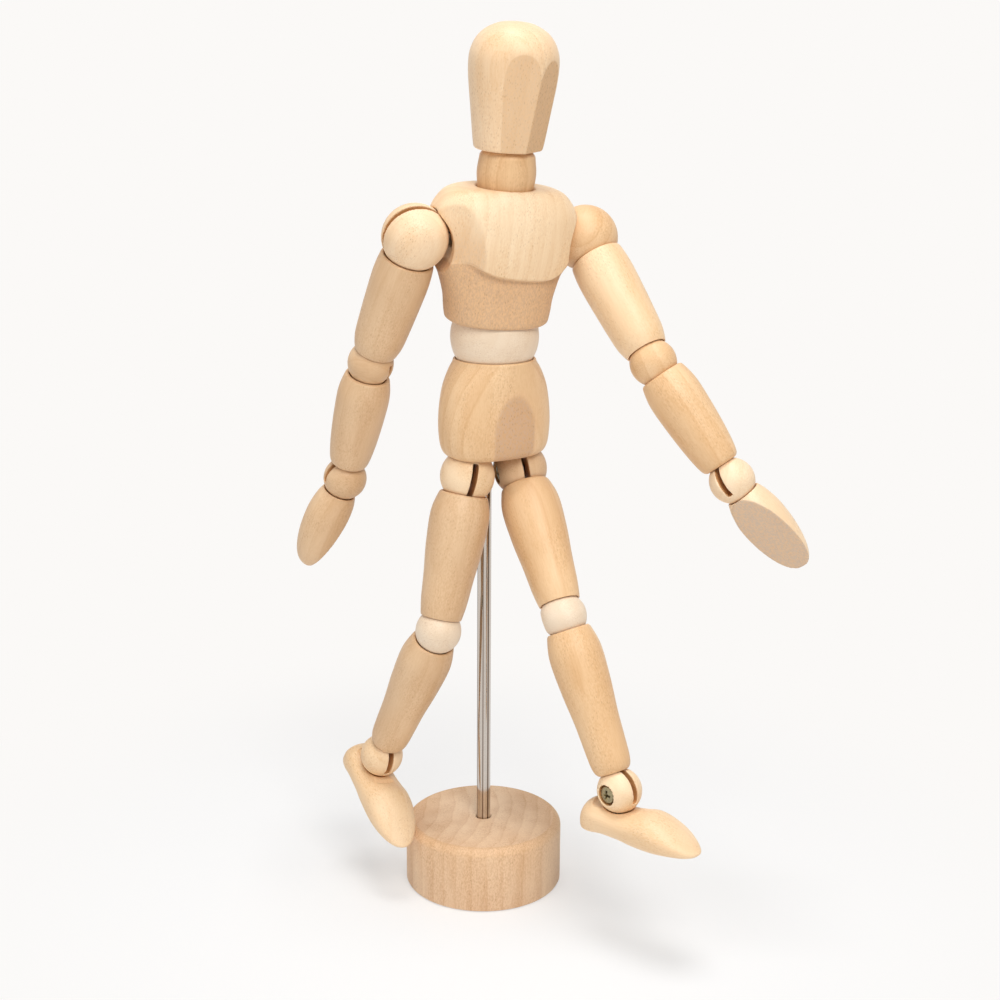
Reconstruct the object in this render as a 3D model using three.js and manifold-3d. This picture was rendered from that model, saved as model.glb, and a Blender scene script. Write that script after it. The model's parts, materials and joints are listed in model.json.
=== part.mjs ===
import * as THREE from 'three';
import { mergeVertices } from 'three/addons/utils/BufferGeometryUtils.js';
import Module from 'manifold-3d';

// Jointed wooden drawing figure on a rod stand. Millimetres, +Z up.
// The origin is the centre of the underside of the stand, the pelvis faces -Y
// and the figure's own left side is +X.

// Stand
const BASE_DIAMETER = 55.6;
const BASE_HEIGHT = 23.3;
const BASE_EDGE_ROUND = 2.75;
const ROD_DIAMETER = 4.8;
const ROD_SINK = 15;
const ROD_RISE_INTO_PELVIS = 13.5;
const ROD_CLEARANCE = 0.3;

// Trunk: heights are above the underside of the stand
const FIGURE_FORWARD_OF_ROD = 6.2;
const HIP_HEIGHT = 152.5;
const HIP_HALF_SPACING = 10.3;
const PELVIS_BOTTOM_ABOVE_HIP = 6.3;
const PELVIS_HEIGHT = 32.9;
const PELVIS_HALF_WIDTH = 19.4;
const PELVIS_HALF_DEPTH = 13.4;
const PELVIS_RIM_RADIUS = 13.75;
const WAIST_ABOVE_HIP = 46.5;
const WAIST_BALL_RADIUS = 14.7;
const CHEST_BOTTOM_ABOVE_WAIST = 5.3;
const CHEST_HEIGHT = 43.7;
const CHEST_HALF_WIDTH = 24.8;
const CHEST_HALF_DEPTH = 14.6;
const SHOULDER_ABOVE_WAIST = 32.6;
const SHOULDER_HALF_SPACING = 29.4;
const NECK_ABOVE_WAIST = 53.5;
const NECK_END_SPHERE = 10.5;
const NECK_BARREL_RADIUS = 9.55;
const NECK_HALF_LENGTH = 8.8;
const HEAD_BOTTOM_ABOVE_NECK = 7.4;
const HEAD_HEIGHT = 39.4;
const HEAD_RADIUS = 14.3;

// Limbs: lengths run from ball centre to ball centre
const UPPER_ARM_LENGTH = 48.4;
const FOREARM_LENGTH = 45.8;
const THIGH_LENGTH = 53.3;
const SHANK_LENGTH = 59.9;
const SHOULDER_BALL_RADIUS = 10.8;
const ELBOW_BALL_RADIUS = 7.7;
const WRIST_BALL_RADIUS = 7.45;
const HIP_BALL_RADIUS = 9.2;
const KNEE_BALL_RADIUS = 7.75;
const ANKLE_BALL_RADIUS = 7.45;
const UPPER_ARM_RADIUS = 9.45;
const FOREARM_RADIUS = 8.8;
const THIGH_RADIUS = 10;
const SHANK_RADIUS = 9;
const HAND_LENGTH = 37;
const PALM_DEPTH = 3;
const PALM_SLANT = 12.5;
const HAND_RADIUS = 8;
const FOOT_TOE_REACH = 30.8;
const FOOT_HEEL_REACH = 13;
const FOOT_HALF_WIDTH = 8.5;
const SOLE_BELOW_ANKLE = 15.6;

// Ball joints
const CUP_GAP = 0.35;
const CUP_LIP = 0.45;
const SLOT_WIDTH = 2;
const SCREW_HEAD_DIAMETER = 6.2;
const SCREW_HEAD_SINK = 1.25;
const SCREW_HEAD_THICKNESS = 2;
const SCREW_SHANK_DIAMETER = 1.8;
const SCREW_SIDE_GAP = 0.4;
const WIRE_DIAMETER = 0.8;
const HOOK_RADIUS = 1.75;
const HOOK_SIDE_STEP = 0.6;
const AXIAL_HOLE_RADIUS = 2.7;
const LIMB_BORE_RADIUS = 3.1;
const COIL_PITCH = 1.3;
const LIMB_COIL_TURNS = 4;
const TRUNK_COIL_RADIUS = 2;
const TRUNK_COIL_PITCH = 2.6;
const TRUNK_BORE_RADIUS = 2.85;

// Pose of the figure, degrees
const WAIST_SWAY = 1.1;
const WAIST_BEND = 5.6;
const WAIST_TURN = -10.5;
const NECK_SWAY = -0.6;
const NECK_BEND = 0.8;
const NECK_TURN = -13;
const ARM_POSE = {
  right: { swivel: 108.7, tilt: 0, hinge: -80.4, midTurn: 136.8, mid: 6.5, lowerTurn: -133.8, end: 11, tipTurn: 2.2 },
  left: { swivel: 131.9, tilt: 0, hinge: 72.9, midTurn: -148.6, mid: 12, lowerTurn: -5, end: 9.7, tipTurn: -4 },
};
const LEG_POSE = {
  right: { swivel: -16.3, tilt: 12.7, hinge: -7.1, midTurn: 7.2, mid: 29.5, lowerTurn: 9.2, end: 1.1, tipTurn: 4.3 },
  left: { swivel: -15.1, tilt: -8.7, hinge: -34, midTurn: -21.7, mid: 10.7, lowerTurn: 48.6, end: 26.4, tipTurn: 10.1 },
};

const degrees = Math.PI / 180;
const wasm = await Module();
wasm.setup();

// Closed solid from a geometry whose seams and poles are welded first
function toSolid(geometry) {
  geometry.deleteAttribute('normal');
  geometry.deleteAttribute('uv');
  const welded = mergeVertices(geometry, 1e-4);
  const points = welded.attributes.position.array;
  const index = welded.index.array;
  const corners = [];
  let volume = 0;
  for (let i = 0; i < index.length; i += 3) {
    const [a, b, c] = [index[i], index[i + 1], index[i + 2]];
    if (a === b || b === c || c === a) continue;
    corners.push(a, b, c);
    const [p, q, r] = [a, b, c].map((k) => new THREE.Vector3().fromArray(points, k * 3));
    volume += p.dot(q.cross(r));
  }
  if (volume < 0) corners.reverse();
  const mesh = new wasm.Mesh({
    numProp: 3,
    vertProperties: new Float32Array(points),
    triVerts: new Uint32Array(corners),
  });
  return new wasm.Manifold(mesh);
}

function toGeometry(body) {
  const mesh = body.getMesh();
  const geometry = new THREE.BufferGeometry();
  geometry.setAttribute('position', new THREE.BufferAttribute(new Float32Array(mesh.vertProperties), 3));
  geometry.setIndex(new THREE.BufferAttribute(new Uint32Array(mesh.triVerts), 1));
  geometry.computeVertexNormals();
  return geometry;
}

// Solid of revolution about Z from [radius, height] pairs
function turned(profile, segments) {
  const points = profile.map(([radius, height]) => new THREE.Vector2(Math.max(radius, 0), height));
  return toSolid(new THREE.LatheGeometry(points, segments).rotateX(Math.PI / 2));
}

function rod(radius, from, to, segments = 10) {
  return turned([[0, from], [radius, from], [radius, to], [0, to]], segments);
}

// Ball, or a ball-shaped cutter whose flats keep the full radius when loose is true
function sphere(radius, x, y, z, wide = 16, high = 10, loose = false) {
  if (loose) radius /= Math.cos(Math.PI / wide);
  return toSolid(new THREE.SphereGeometry(radius, wide, high).rotateX(Math.PI / 2).translate(x, y, z));
}

function box(from, to) {
  const size = to.map((v, i) => v - from[i]);
  const geometry = new THREE.BoxGeometry(...size);
  return toSolid(geometry.translate(...from.map((v, i) => v + size[i] / 2)));
}

// Arc of a circle about (0, centre) in [radius, height] pairs, between two radii, below or above it
function cupArc(radius, centre, side, from, to, steps) {
  const start = Math.asin(Math.min(from / radius, 1));
  const end = Math.asin(Math.min(to / radius, 1));
  return Array.from({ length: steps + 1 }, (_, i) => {
    const angle = start + ((end - start) * i) / steps;
    return [radius * Math.sin(angle), centre + side * radius * Math.cos(angle)];
  });
}

// Smooth outline through [height, radius] pairs, returned as [radius, height]
function outline(pairs, steps) {
  const curve = new THREE.SplineCurve(pairs.map(([height, radius]) => new THREE.Vector2(radius, height)));
  return curve.getPoints(steps).map((p) => [p.x, p.y]);
}

// Body through rings stacked along Z; each ring is [height, halfWidth, front, back, squareness]
function stacked(rings, segments) {
  const positions = [];
  const index = [];
  rings.forEach(([height, halfWidth, front, back, squareness]) => {
    for (let i = 0; i < segments; i += 1) {
      const angle = (2 * Math.PI * i) / segments;
      const across = Math.sign(Math.cos(angle)) * Math.abs(Math.cos(angle)) ** (2 / squareness);
      const along = Math.sign(Math.sin(angle)) * Math.abs(Math.sin(angle)) ** (2 / squareness);
      positions.push(halfWidth * across, (along < 0 ? front : back) * along, height);
    }
  });
  const bottom = positions.length / 3;
  positions.push(0, 0, rings[0][0]);
  const top = bottom + 1;
  positions.push(0, 0, rings[rings.length - 1][0]);
  for (let i = 0; i < segments; i += 1) {
    const next = (i + 1) % segments;
    const last = (rings.length - 1) * segments;
    index.push(bottom, next, i);
    index.push(top, last + i, last + next);
    for (let k = 0; k < rings.length - 1; k += 1) {
      const a = k * segments;
      const b = a + segments;
      index.push(a + i, a + next, b + next, a + i, b + next, b + i);
    }
  }
  const geometry = new THREE.BufferGeometry();
  geometry.setAttribute('position', new THREE.Float32BufferAttribute(positions, 3));
  geometry.setIndex(index);
  return toSolid(geometry);
}

// Wire path whose steps fall exactly on the listed points
class WirePath extends THREE.Curve {
  constructor(points) {
    super();
    this.points = points;
  }

  getPoint(t, target = new THREE.Vector3()) {
    const place = t * (this.points.length - 1);
    const from = Math.min(Math.floor(place + 1e-6), this.points.length - 2);
    return target.lerpVectors(this.points[from], this.points[from + 1], place - from);
  }

  getPointAt(t, target) {
    return this.getPoint(t, target);
  }

  getTangentAt(t, target = new THREE.Vector3()) {
    const last = this.points.length - 1;
    const place = Math.round(t * last);
    return target
      .subVectors(this.points[Math.min(place + 1, last)], this.points[Math.max(place - 1, 0)])
      .normalize();
  }
}

function wire(points) {
  const section = new THREE.Shape();
  for (let i = 0; i < 3; i += 1) {
    const angle = (i * 2 * Math.PI) / 3;
    const [x, y] = [Math.cos(angle), Math.sin(angle)].map((v) => v * (WIRE_DIAMETER / 2));
    if (i === 0) section.moveTo(x, y);
    else section.lineTo(x, y);
  }
  section.closePath();
  const path = new WirePath(points);
  return toSolid(
    new THREE.ExtrudeGeometry(section, { steps: points.length - 1, bevelEnabled: false, extrudePath: path }),
  );
}

// Open eye round a screw that lies along X through the origin; it ends beside the
// origin at +Y, heading down, after stepping from the given side to the middle plane
function eyePoints(sideStep) {
  const points = [];
  for (let i = 0; i <= 6; i += 1) {
    const angle = (270 - i * 45) * degrees;
    points.push(new THREE.Vector3(sideStep, HOOK_RADIUS * Math.cos(angle), HOOK_RADIUS * Math.sin(angle)));
  }
  points.push(new THREE.Vector3(0, HOOK_RADIUS, -HOOK_RADIUS * 1.4));
  return points;
}

// Same eye at the far end of a limb, for a screw turned by the given angle about Z
function farEyePoints(sideStep, length, turn) {
  const points = eyePoints(sideStep).reverse();
  return points.map((p) => p.set(p.x, p.y, -p.z - length).applyAxisAngle(new THREE.Vector3(0, 0, 1), turn));
}

function coilPoints(radius, from, height, turns, startAngle, stepsPerTurn = 5) {
  const steps = Math.max(Math.round(Math.abs(turns) * stepsPerTurn), 3);
  return Array.from({ length: steps + 1 }, (_, i) => {
    const angle = startAngle + (2 * Math.PI * turns * i) / steps;
    return new THREE.Vector3(radius * Math.cos(angle), radius * Math.sin(angle), from - (height * i) / steps);
  });
}

// Eye, straight leg, tension coil, straight leg, eye
function limbSpring(length, turn, nearStep, farStep) {
  const turns = LIMB_COIL_TURNS + turn / (2 * Math.PI);
  const coilLength = turns * COIL_PITCH;
  const start = -(length - coilLength) / 2;
  return wire([
    ...eyePoints(nearStep),
    ...coilPoints(HOOK_RADIUS, start, coilLength, turns, Math.PI / 2),
    ...farEyePoints(farStep, length, turn),
  ]);
}

// Eye on a screw and a coil that grips the bore of the next piece below it
function anchorHook(step, coilTop, coilLength) {
  const turns = coilLength / COIL_PITCH;
  return wire([...eyePoints(step), ...coilPoints(HOOK_RADIUS, coilTop, coilLength, turns, Math.PI / 2)]);
}

// Coil that is upright below the origin and follows the given lean above it
function bentSpring(foot, top, curveHeight, lean) {
  const steps = Math.round(((top - foot) / TRUNK_COIL_PITCH) * 5);
  const points = Array.from({ length: steps + 1 }, (_, i) => {
    const angle = (2 * Math.PI * i) / 5;
    const height = top - ((top - foot) * i) / steps;
    const share = THREE.MathUtils.smoothstep(height, 0, curveHeight);
    const bend = new THREE.Quaternion().slerp(lean, share);
    const [x, y] = [Math.cos(angle), Math.sin(angle)].map((v) => v * TRUNK_COIL_RADIUS);
    return new THREE.Vector3(x, y, height).applyQuaternion(bend);
  });
  return wire(points);
}

// Eye on the screw of a trunk ball, heading from the ball centre towards the trunk
function trunkEyePoints(frame) {
  return eyePoints(-HOOK_SIDE_STEP).map((p) => p.setZ(-p.z).applyMatrix4(frame));
}

function leanOf(sway, bend) {
  return new THREE.Quaternion().setFromEuler(new THREE.Euler(bend * degrees, sway * degrees, 0, 'YXZ'));
}

// Pan head screw along X with a cross recess, head towards +X or -X
function pivotScrew(ballRadius, headSide) {
  const face = ballRadius - SCREW_HEAD_SINK;
  const seat = face - SCREW_HEAD_THICKNESS;
  const tip = -(ballRadius - 2.6);
  const head = SCREW_HEAD_DIAMETER / 2;
  const shank = SCREW_SHANK_DIAMETER / 2;
  const profile = [
    [0, tip],
    [shank, tip + 1],
    [shank, seat],
    [head, seat],
    [head, seat + SCREW_HEAD_THICKNESS * 0.6],
    [head * 0.74, face],
    [0, face],
  ];
  const blade = [head * 0.17, head * 0.6, SCREW_HEAD_THICKNESS * 0.6];
  const recess = box([-blade[0], -blade[1], face - blade[2]], [blade[0], blade[1], face + 1])
    .add(box([-blade[1], -blade[0], face - blade[2]], [blade[1], blade[0], face + 1]));
  return toGeometry(turned(profile, 12).subtract(recess)).rotateY((headSide * Math.PI) / 2);
}

// Wooden ball: saw slot for the swinging wire, axial hole for the fixed wire, screw hole across.
// slotSide is -1 for a slot that opens away from the trunk and +1 for one that opens towards it
function slottedBall(radius, slotSide, floor, openBothWays, headSide) {
  const reach = radius + 1;
  const slotBack = openBothWays ? -reach : -(HOOK_RADIUS + WIRE_DIAMETER);
  const slotFrom = slotSide < 0 ? -reach : -floor;
  const slotTo = slotSide < 0 ? floor : reach;
  const seat = radius - SCREW_HEAD_SINK - SCREW_HEAD_THICKNESS - 0.3;
  const holeEnd = -(radius - 2.2);
  const slot = box([-SLOT_WIDTH / 2, slotBack, slotFrom], [SLOT_WIDTH / 2, reach, slotTo]);
  const axial = rod(AXIAL_HOLE_RADIUS, slotSide < 0 ? -AXIAL_HOLE_RADIUS : -reach,
    slotSide < 0 ? reach : AXIAL_HOLE_RADIUS, 10);
  const across = turned([
    [0, holeEnd],
    [SCREW_SHANK_DIAMETER / 2 + 0.3, holeEnd],
    [SCREW_SHANK_DIAMETER / 2 + 0.3, seat],
    [SCREW_HEAD_DIAMETER / 2 + SCREW_SIDE_GAP, seat],
    [SCREW_HEAD_DIAMETER / 2 + SCREW_SIDE_GAP, reach],
    [0, reach],
  ], 12).rotate([0, 90 * headSide, 0]);
  const ball = sphere(radius, 0, 0, 0, 13, 8);
  return toGeometry(ball.subtract(slot).subtract(axial).subtract(across));
}

// Turned limb with a cup at each end and a bore for the spring.
// Each lip sits where the cup has the given radius; shape lists [share of length, share of radius]
function turnedLimb(length, radius, nearBall, nearCup, farBall, farCup, shape, segments = 14) {
  const near = (nearBall + CUP_GAP) / Math.cos(Math.PI / segments);
  const far = (farBall + CUP_GAP) / Math.cos(Math.PI / segments);
  const nearRim = -Math.sqrt(near * near - nearCup * nearCup);
  const farRim = -length + Math.sqrt(far * far - farCup * farCup);
  const span = nearRim - farRim;
  const middle = shape.map(([share, part]) => [nearRim - span * share, radius * part]);
  const side = outline([[nearRim, nearCup + CUP_LIP], ...middle, [farRim, farCup + CUP_LIP]], 9);
  const nearArc = cupArc(near, 0, -1, LIMB_BORE_RADIUS, nearCup, 3);
  const farArc = cupArc(far, -length, 1, farCup, LIMB_BORE_RADIUS, 3);
  return toGeometry(turned([...nearArc, ...side, ...farArc, nearArc[0]], segments));
}

const figure = new THREE.Group();

const wood = { color: 0xe2c394, roughness: 0.55, metalness: 0 };
const paleWood = { color: 0xe9d9c2, roughness: 0.6, metalness: 0 };
const baseWood = { color: 0xdcb896, roughness: 0.5, metalness: 0 };
const steel = { color: 0xb9bcc0, roughness: 0.22, metalness: 1 };
const nickel = { color: 0xa39a84, roughness: 0.3, metalness: 1 };
const spring = { color: 0x8d9094, roughness: 0.35, metalness: 1 };

function place(parent, name, geometry, look) {
  const mesh = new THREE.Mesh(geometry, new THREE.MeshStandardMaterial(look));
  mesh.name = name;
  parent.add(mesh);
  return mesh;
}

function frameAt(parent, x, y, z) {
  const group = new THREE.Group();
  group.position.set(x, y, z);
  parent.add(group);
  return group;
}

function turnBy(parent, axis, angle) {
  const group = new THREE.Group();
  group.rotation[axis] = angle * degrees;
  parent.add(group);
  return group;
}

// Stand: solid turned base with a rod pressed into its middle
const baseRadius = BASE_DIAMETER / 2;
const roundCentre = baseRadius - BASE_EDGE_ROUND;
const baseProfile = [[0, 0], [baseRadius - 0.6, 0], [baseRadius, 0.6]];
for (let i = 0; i <= 5; i += 1) {
  const angle = (i * 18) * degrees;
  baseProfile.push([
    roundCentre + BASE_EDGE_ROUND * Math.cos(angle),
    BASE_HEIGHT - BASE_EDGE_ROUND + BASE_EDGE_ROUND * Math.sin(angle),
  ]);
}
const rodHole = ROD_DIAMETER / 2 + ROD_CLEARANCE;
baseProfile.push([rodHole, BASE_HEIGHT], [rodHole, BASE_HEIGHT - ROD_SINK], [0, BASE_HEIGHT - ROD_SINK]);
place(figure, 'base', toGeometry(turned(baseProfile, 40)), baseWood);

const rodFoot = BASE_HEIGHT - ROD_SINK + ROD_CLEARANCE;
const rodTop = HIP_HEIGHT + PELVIS_BOTTOM_ABOVE_HIP + ROD_RISE_INTO_PELVIS;
const rodRadius = ROD_DIAMETER / 2;
place(figure, 'stand_rod', toGeometry(turned([
  [0, rodFoot],
  [rodRadius - 0.5, rodFoot],
  [rodRadius, rodFoot + 0.5],
  [rodRadius, rodTop - 0.5],
  [rodRadius - 0.5, rodTop],
  [0, rodTop],
], 16)), steel);

// Pelvis, drawn about the middle of the hip line
const hips = frameAt(figure, 0, -FIGURE_FORWARD_OF_ROD, HIP_HEIGHT);
const [pw, pd, pr] = [PELVIS_HALF_WIDTH, PELVIS_HALF_DEPTH, PELVIS_RIM_RADIUS];
const pelvisRings = [
  [0, 0.77, 0.72, 2.5],
  [0.018, 0.845, 0.82, 2.5],
  [0.06, 0.915, 0.915, 2.5],
  [0.14, 0.965, 0.97, 2.45],
  [0.28, 0.995, 0.995, 2.4],
  [0.42, 1, 1, 2.35],
  [0.58, 0.975, 1, 2.3],
].map(([rise, wide, deep, square]) => [rise, pw * wide, pd * deep, square]);
pelvisRings.push([0.74, pw * 0.55 + pr * 0.52, pd * 0.3 + pr * 0.7, 2.2]);
pelvisRings.push([0.88, pw * 0.25 + pr * 0.8, pr * 1.005, 2.08]);
pelvisRings.push([0.975, pr * 1.012, pr * 1.003, 2]);
pelvisRings.push([1, pr, pr, 2]);
let pelvis = stacked(pelvisRings.map(([rise, wide, deep, square]) => [
  PELVIS_BOTTOM_ABOVE_HIP + PELVIS_HEIGHT * rise, wide, deep, deep, square,
]), 24);
const waistCup = WAIST_BALL_RADIUS + CUP_GAP;
const hipCup = HIP_BALL_RADIUS + CUP_GAP;
const rodHoleTop = PELVIS_BOTTOM_ABOVE_HIP + ROD_RISE_INTO_PELVIS + ROD_CLEARANCE;
const hipBoreTop = hipCup + COIL_PITCH * 5 + 2.5;
const waistBoreFloor = rodHoleTop + 1.2;
pelvis = pelvis
  .subtract(sphere(waistCup, 0, 0, WAIST_ABOVE_HIP, 20, 12, true))
  .subtract(rod(rodHole, 0, rodHoleTop, 12).translate([0, FIGURE_FORWARD_OF_ROD, 0]))
  .subtract(rod(TRUNK_BORE_RADIUS, waistBoreFloor, WAIST_ABOVE_HIP));
for (const side of [-1, 1]) {
  pelvis = pelvis
    .subtract(sphere(hipCup, side * HIP_HALF_SPACING, 0, 0, 16, 10, true))
    .subtract(rod(TRUNK_BORE_RADIUS, 0, hipBoreTop).translate([side * HIP_HALF_SPACING, 0, 0]));
}
place(hips, 'pelvis', toGeometry(pelvis), wood);

// Waist ball and the spring through pelvis, ball and chest
const waist = frameAt(hips, 0, 0, WAIST_ABOVE_HIP);
const waistSway = turnBy(waist, 'y', WAIST_SWAY);
const waistBall = sphere(WAIST_BALL_RADIUS, 0, 0, 0, 20, 13)
  .subtract(turned([
    [0, -WAIST_BALL_RADIUS - 1],
    [TRUNK_BORE_RADIUS * 2, -WAIST_BALL_RADIUS - 1],
    [TRUNK_BORE_RADIUS + 0.5, -WAIST_BALL_RADIUS * 0.25],
    [TRUNK_BORE_RADIUS + 0.5, WAIST_BALL_RADIUS * 0.25],
    [TRUNK_BORE_RADIUS * 2, WAIST_BALL_RADIUS + 1],
    [0, WAIST_BALL_RADIUS + 1],
  ], 10));
place(waistSway, 'waist_ball', toGeometry(waistBall), paleWood);
const waistBend = turnBy(waistSway, 'x', WAIST_BEND);
place(waist, 'waist_spring', toGeometry(bentSpring(
  waistBoreFloor + 0.6 - WAIST_ABOVE_HIP,
  waistCup + 8.5,
  WAIST_BALL_RADIUS,
  leanOf(WAIST_SWAY, WAIST_BEND),
)), spring);

// Chest, drawn about the centre of the waist ball
const chestFrame = turnBy(waistBend, 'z', WAIST_TURN);
const [cw, cd] = [CHEST_HALF_WIDTH, CHEST_HALF_DEPTH];
const chestTop = CHEST_BOTTOM_ABOVE_WAIST + CHEST_HEIGHT;
const chestRings = [
  [0, 0.655, 1, 1, 2.15],
  [0.022, 0.69, 1.02, 1.02, 2.2],
  [0.18, 0.735, 0.95, 0.96, 2.4],
  [0.34, 0.79, 0.9, 0.94, 2.5],
  [0.385, 0.84, 0.92, 0.95, 2.5],
  [0.41, 0.93, 0.985, 0.96, 2.5],
  [0.55, 0.985, 1.01, 0.98, 2.6],
  [0.74, 1, 0.99, 1, 2.6],
  [0.84, 0.96, 0.95, 1, 2.6],
  [0.91, 0.885, 0.89, 1, 2.6],
  [0.965, 0.79, 0.81, 0.96, 2.5],
  [0.995, 0.66, 0.72, 0.87, 2.4],
  [1, 0.56, 0.68, 0.8, 2.3],
];
let chest = stacked(chestRings.map(([rise, wide, front, back, square]) => [
  CHEST_BOTTOM_ABOVE_WAIST + CHEST_HEIGHT * rise, cw * wide, cd * front, cd * back, square,
]), 24);
const shoulderCup = SHOULDER_BALL_RADIUS + CUP_GAP;
const neckCup = NECK_END_SPHERE + 0.3;
const neckBoreFloor = NECK_ABOVE_WAIST - neckCup - 4.6;
chest = chest
  .subtract(sphere(waistCup, 0, 0, 0, 20, 12, true))
  .subtract(sphere(neckCup, 0, 0, NECK_ABOVE_WAIST, 16, 10, true))
  .subtract(rod(TRUNK_BORE_RADIUS, 0, waistCup + 9.4))
  .subtract(rod(TRUNK_BORE_RADIUS, neckBoreFloor, NECK_ABOVE_WAIST))
  .subtract(rod(TRUNK_BORE_RADIUS, -SHOULDER_HALF_SPACING, SHOULDER_HALF_SPACING)
    .rotate([0, 90, 0]).translate([0, 0, SHOULDER_ABOVE_WAIST]));
for (const side of [-1, 1]) {
  chest = chest.subtract(
    sphere(shoulderCup, side * SHOULDER_HALF_SPACING, 0, SHOULDER_ABOVE_WAIST, 18, 12, true),
  ).subtract(
    sphere(shoulderCup * 1.3, side * SHOULDER_HALF_SPACING * 1.07, -SHOULDER_BALL_RADIUS * 0.5,
      SHOULDER_ABOVE_WAIST - SHOULDER_BALL_RADIUS * 0.25, 18, 12),
  ).subtract(
    sphere(shoulderCup * 1.07, side * SHOULDER_HALF_SPACING, 0,
      SHOULDER_ABOVE_WAIST - SHOULDER_BALL_RADIUS * 0.2, 18, 12),
  );
}
place(chestFrame, 'chest', toGeometry(chest), wood);

// Neck barrel between chest and head, with its spring
const neckFrame = frameAt(chestFrame, 0, 0, NECK_ABOVE_WAIST);
const neckSway = turnBy(neckFrame, 'y', NECK_SWAY);
const neckEnd = Math.sqrt(NECK_END_SPHERE ** 2 - NECK_HALF_LENGTH ** 2);
const neckShoulder = Math.sqrt(NECK_END_SPHERE ** 2 - (NECK_BARREL_RADIUS * 0.935) ** 2);
const neckBore = TRUNK_BORE_RADIUS + 0.6;
const lowerEnd = cupArc(NECK_END_SPHERE, 0, -1, neckEnd, NECK_BARREL_RADIUS * 0.935, 2);
const barrel = outline([
  [-neckShoulder, NECK_BARREL_RADIUS * 0.935],
  [0, NECK_BARREL_RADIUS],
  [neckShoulder, NECK_BARREL_RADIUS * 0.935],
], 4);
const upperEnd = cupArc(NECK_END_SPHERE, 0, 1, NECK_BARREL_RADIUS * 0.935, neckEnd, 2);
place(neckSway, 'neck_ball', toGeometry(turned([
  [neckBore, -NECK_HALF_LENGTH],
  ...lowerEnd,
  ...barrel.slice(1, -1),
  ...upperEnd,
  [neckBore, NECK_HALF_LENGTH],
  [neckBore, -NECK_HALF_LENGTH],
], 16)), wood);
const neckBend = turnBy(neckSway, 'x', NECK_BEND);
place(neckFrame, 'neck_spring', toGeometry(bentSpring(
  -neckCup - 4,
  neckCup + 9,
  NECK_HALF_LENGTH,
  leanOf(NECK_SWAY, NECK_BEND),
)), spring);

// Head: turned egg, flattened face and two cheek flats, drawn about the neck centre
const headFrame = turnBy(neckBend, 'z', NECK_TURN);
const headBottom = HEAD_BOTTOM_ABOVE_NECK;
const headTop = headBottom + HEAD_HEIGHT;
const skull = outline([
  [headBottom, HEAD_RADIUS * 0.735],
  [headBottom + HEAD_HEIGHT * 0.035, HEAD_RADIUS * 0.79],
  [headBottom + HEAD_HEIGHT * 0.3, HEAD_RADIUS * 0.89],
  [headBottom + HEAD_HEIGHT * 0.56, HEAD_RADIUS * 0.985],
  [headBottom + HEAD_HEIGHT * 0.7, HEAD_RADIUS],
  [headBottom + HEAD_HEIGHT * 0.84, HEAD_RADIUS * 0.87],
  [headBottom + HEAD_HEIGHT * 0.95, HEAD_RADIUS * 0.52],
  [headTop, 0],
], 14);
let head = turned([[0, headBottom], ...skull], 20);
head = head
  .subtract(sphere(neckCup, 0, 0, 0, 16, 10, true))
  .subtract(rod(TRUNK_BORE_RADIUS, 0, neckCup + 9.8));
const flats = [
  { turn: 0, depth: 0.83, lean: 4.7 },
  { turn: 48, depth: 0.85, lean: 5 },
  { turn: -48, depth: 0.85, lean: 5 },
];
for (const flat of flats) {
  const cutter = box([-40, -80, -60], [40, 0, 60])
    .rotate([flat.lean, 0, 0])
    .translate([0, -HEAD_RADIUS * flat.depth, headBottom + HEAD_HEIGHT * 0.55])
    .rotate([0, 0, flat.turn]);
  head = head.subtract(cutter);
}
place(headFrame, 'head', toGeometry(head), wood);

// Shoulder spring: one wire from the left shoulder screw through the chest to the right one
const shoulderEyes = [['left', 1], ['right', -1]].map(([side, sign]) => {
  const frame = new THREE.Matrix4().makeTranslation(sign * SHOULDER_HALF_SPACING, 0, SHOULDER_ABOVE_WAIST)
    .multiply(new THREE.Matrix4().makeRotationY(-90 * sign * degrees))
    .multiply(new THREE.Matrix4().makeRotationZ(ARM_POSE[side].swivel * degrees));
  return trunkEyePoints(frame);
});
const [leftLeg, rightLeg] = shoulderEyes.map((points) => {
  const end = points[points.length - 1];
  return Math.atan2(end.z - SHOULDER_ABOVE_WAIST, end.y);
});
const shoulderTurns = 6 + THREE.MathUtils.euclideanModulo(rightLeg - leftLeg, 2 * Math.PI) / (2 * Math.PI);
const shoulderCoil = coilPoints(HOOK_RADIUS, 0, shoulderTurns * COIL_PITCH, shoulderTurns, leftLeg)
  .map((p) => new THREE.Vector3((shoulderTurns * COIL_PITCH) / 2 + p.z, p.x, p.y + SHOULDER_ABOVE_WAIST));
place(chestFrame, 'shoulder_spring', toGeometry(wire([
  ...shoulderEyes[0],
  ...shoulderCoil,
  ...shoulderEyes[1].reverse(),
])), spring);

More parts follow.
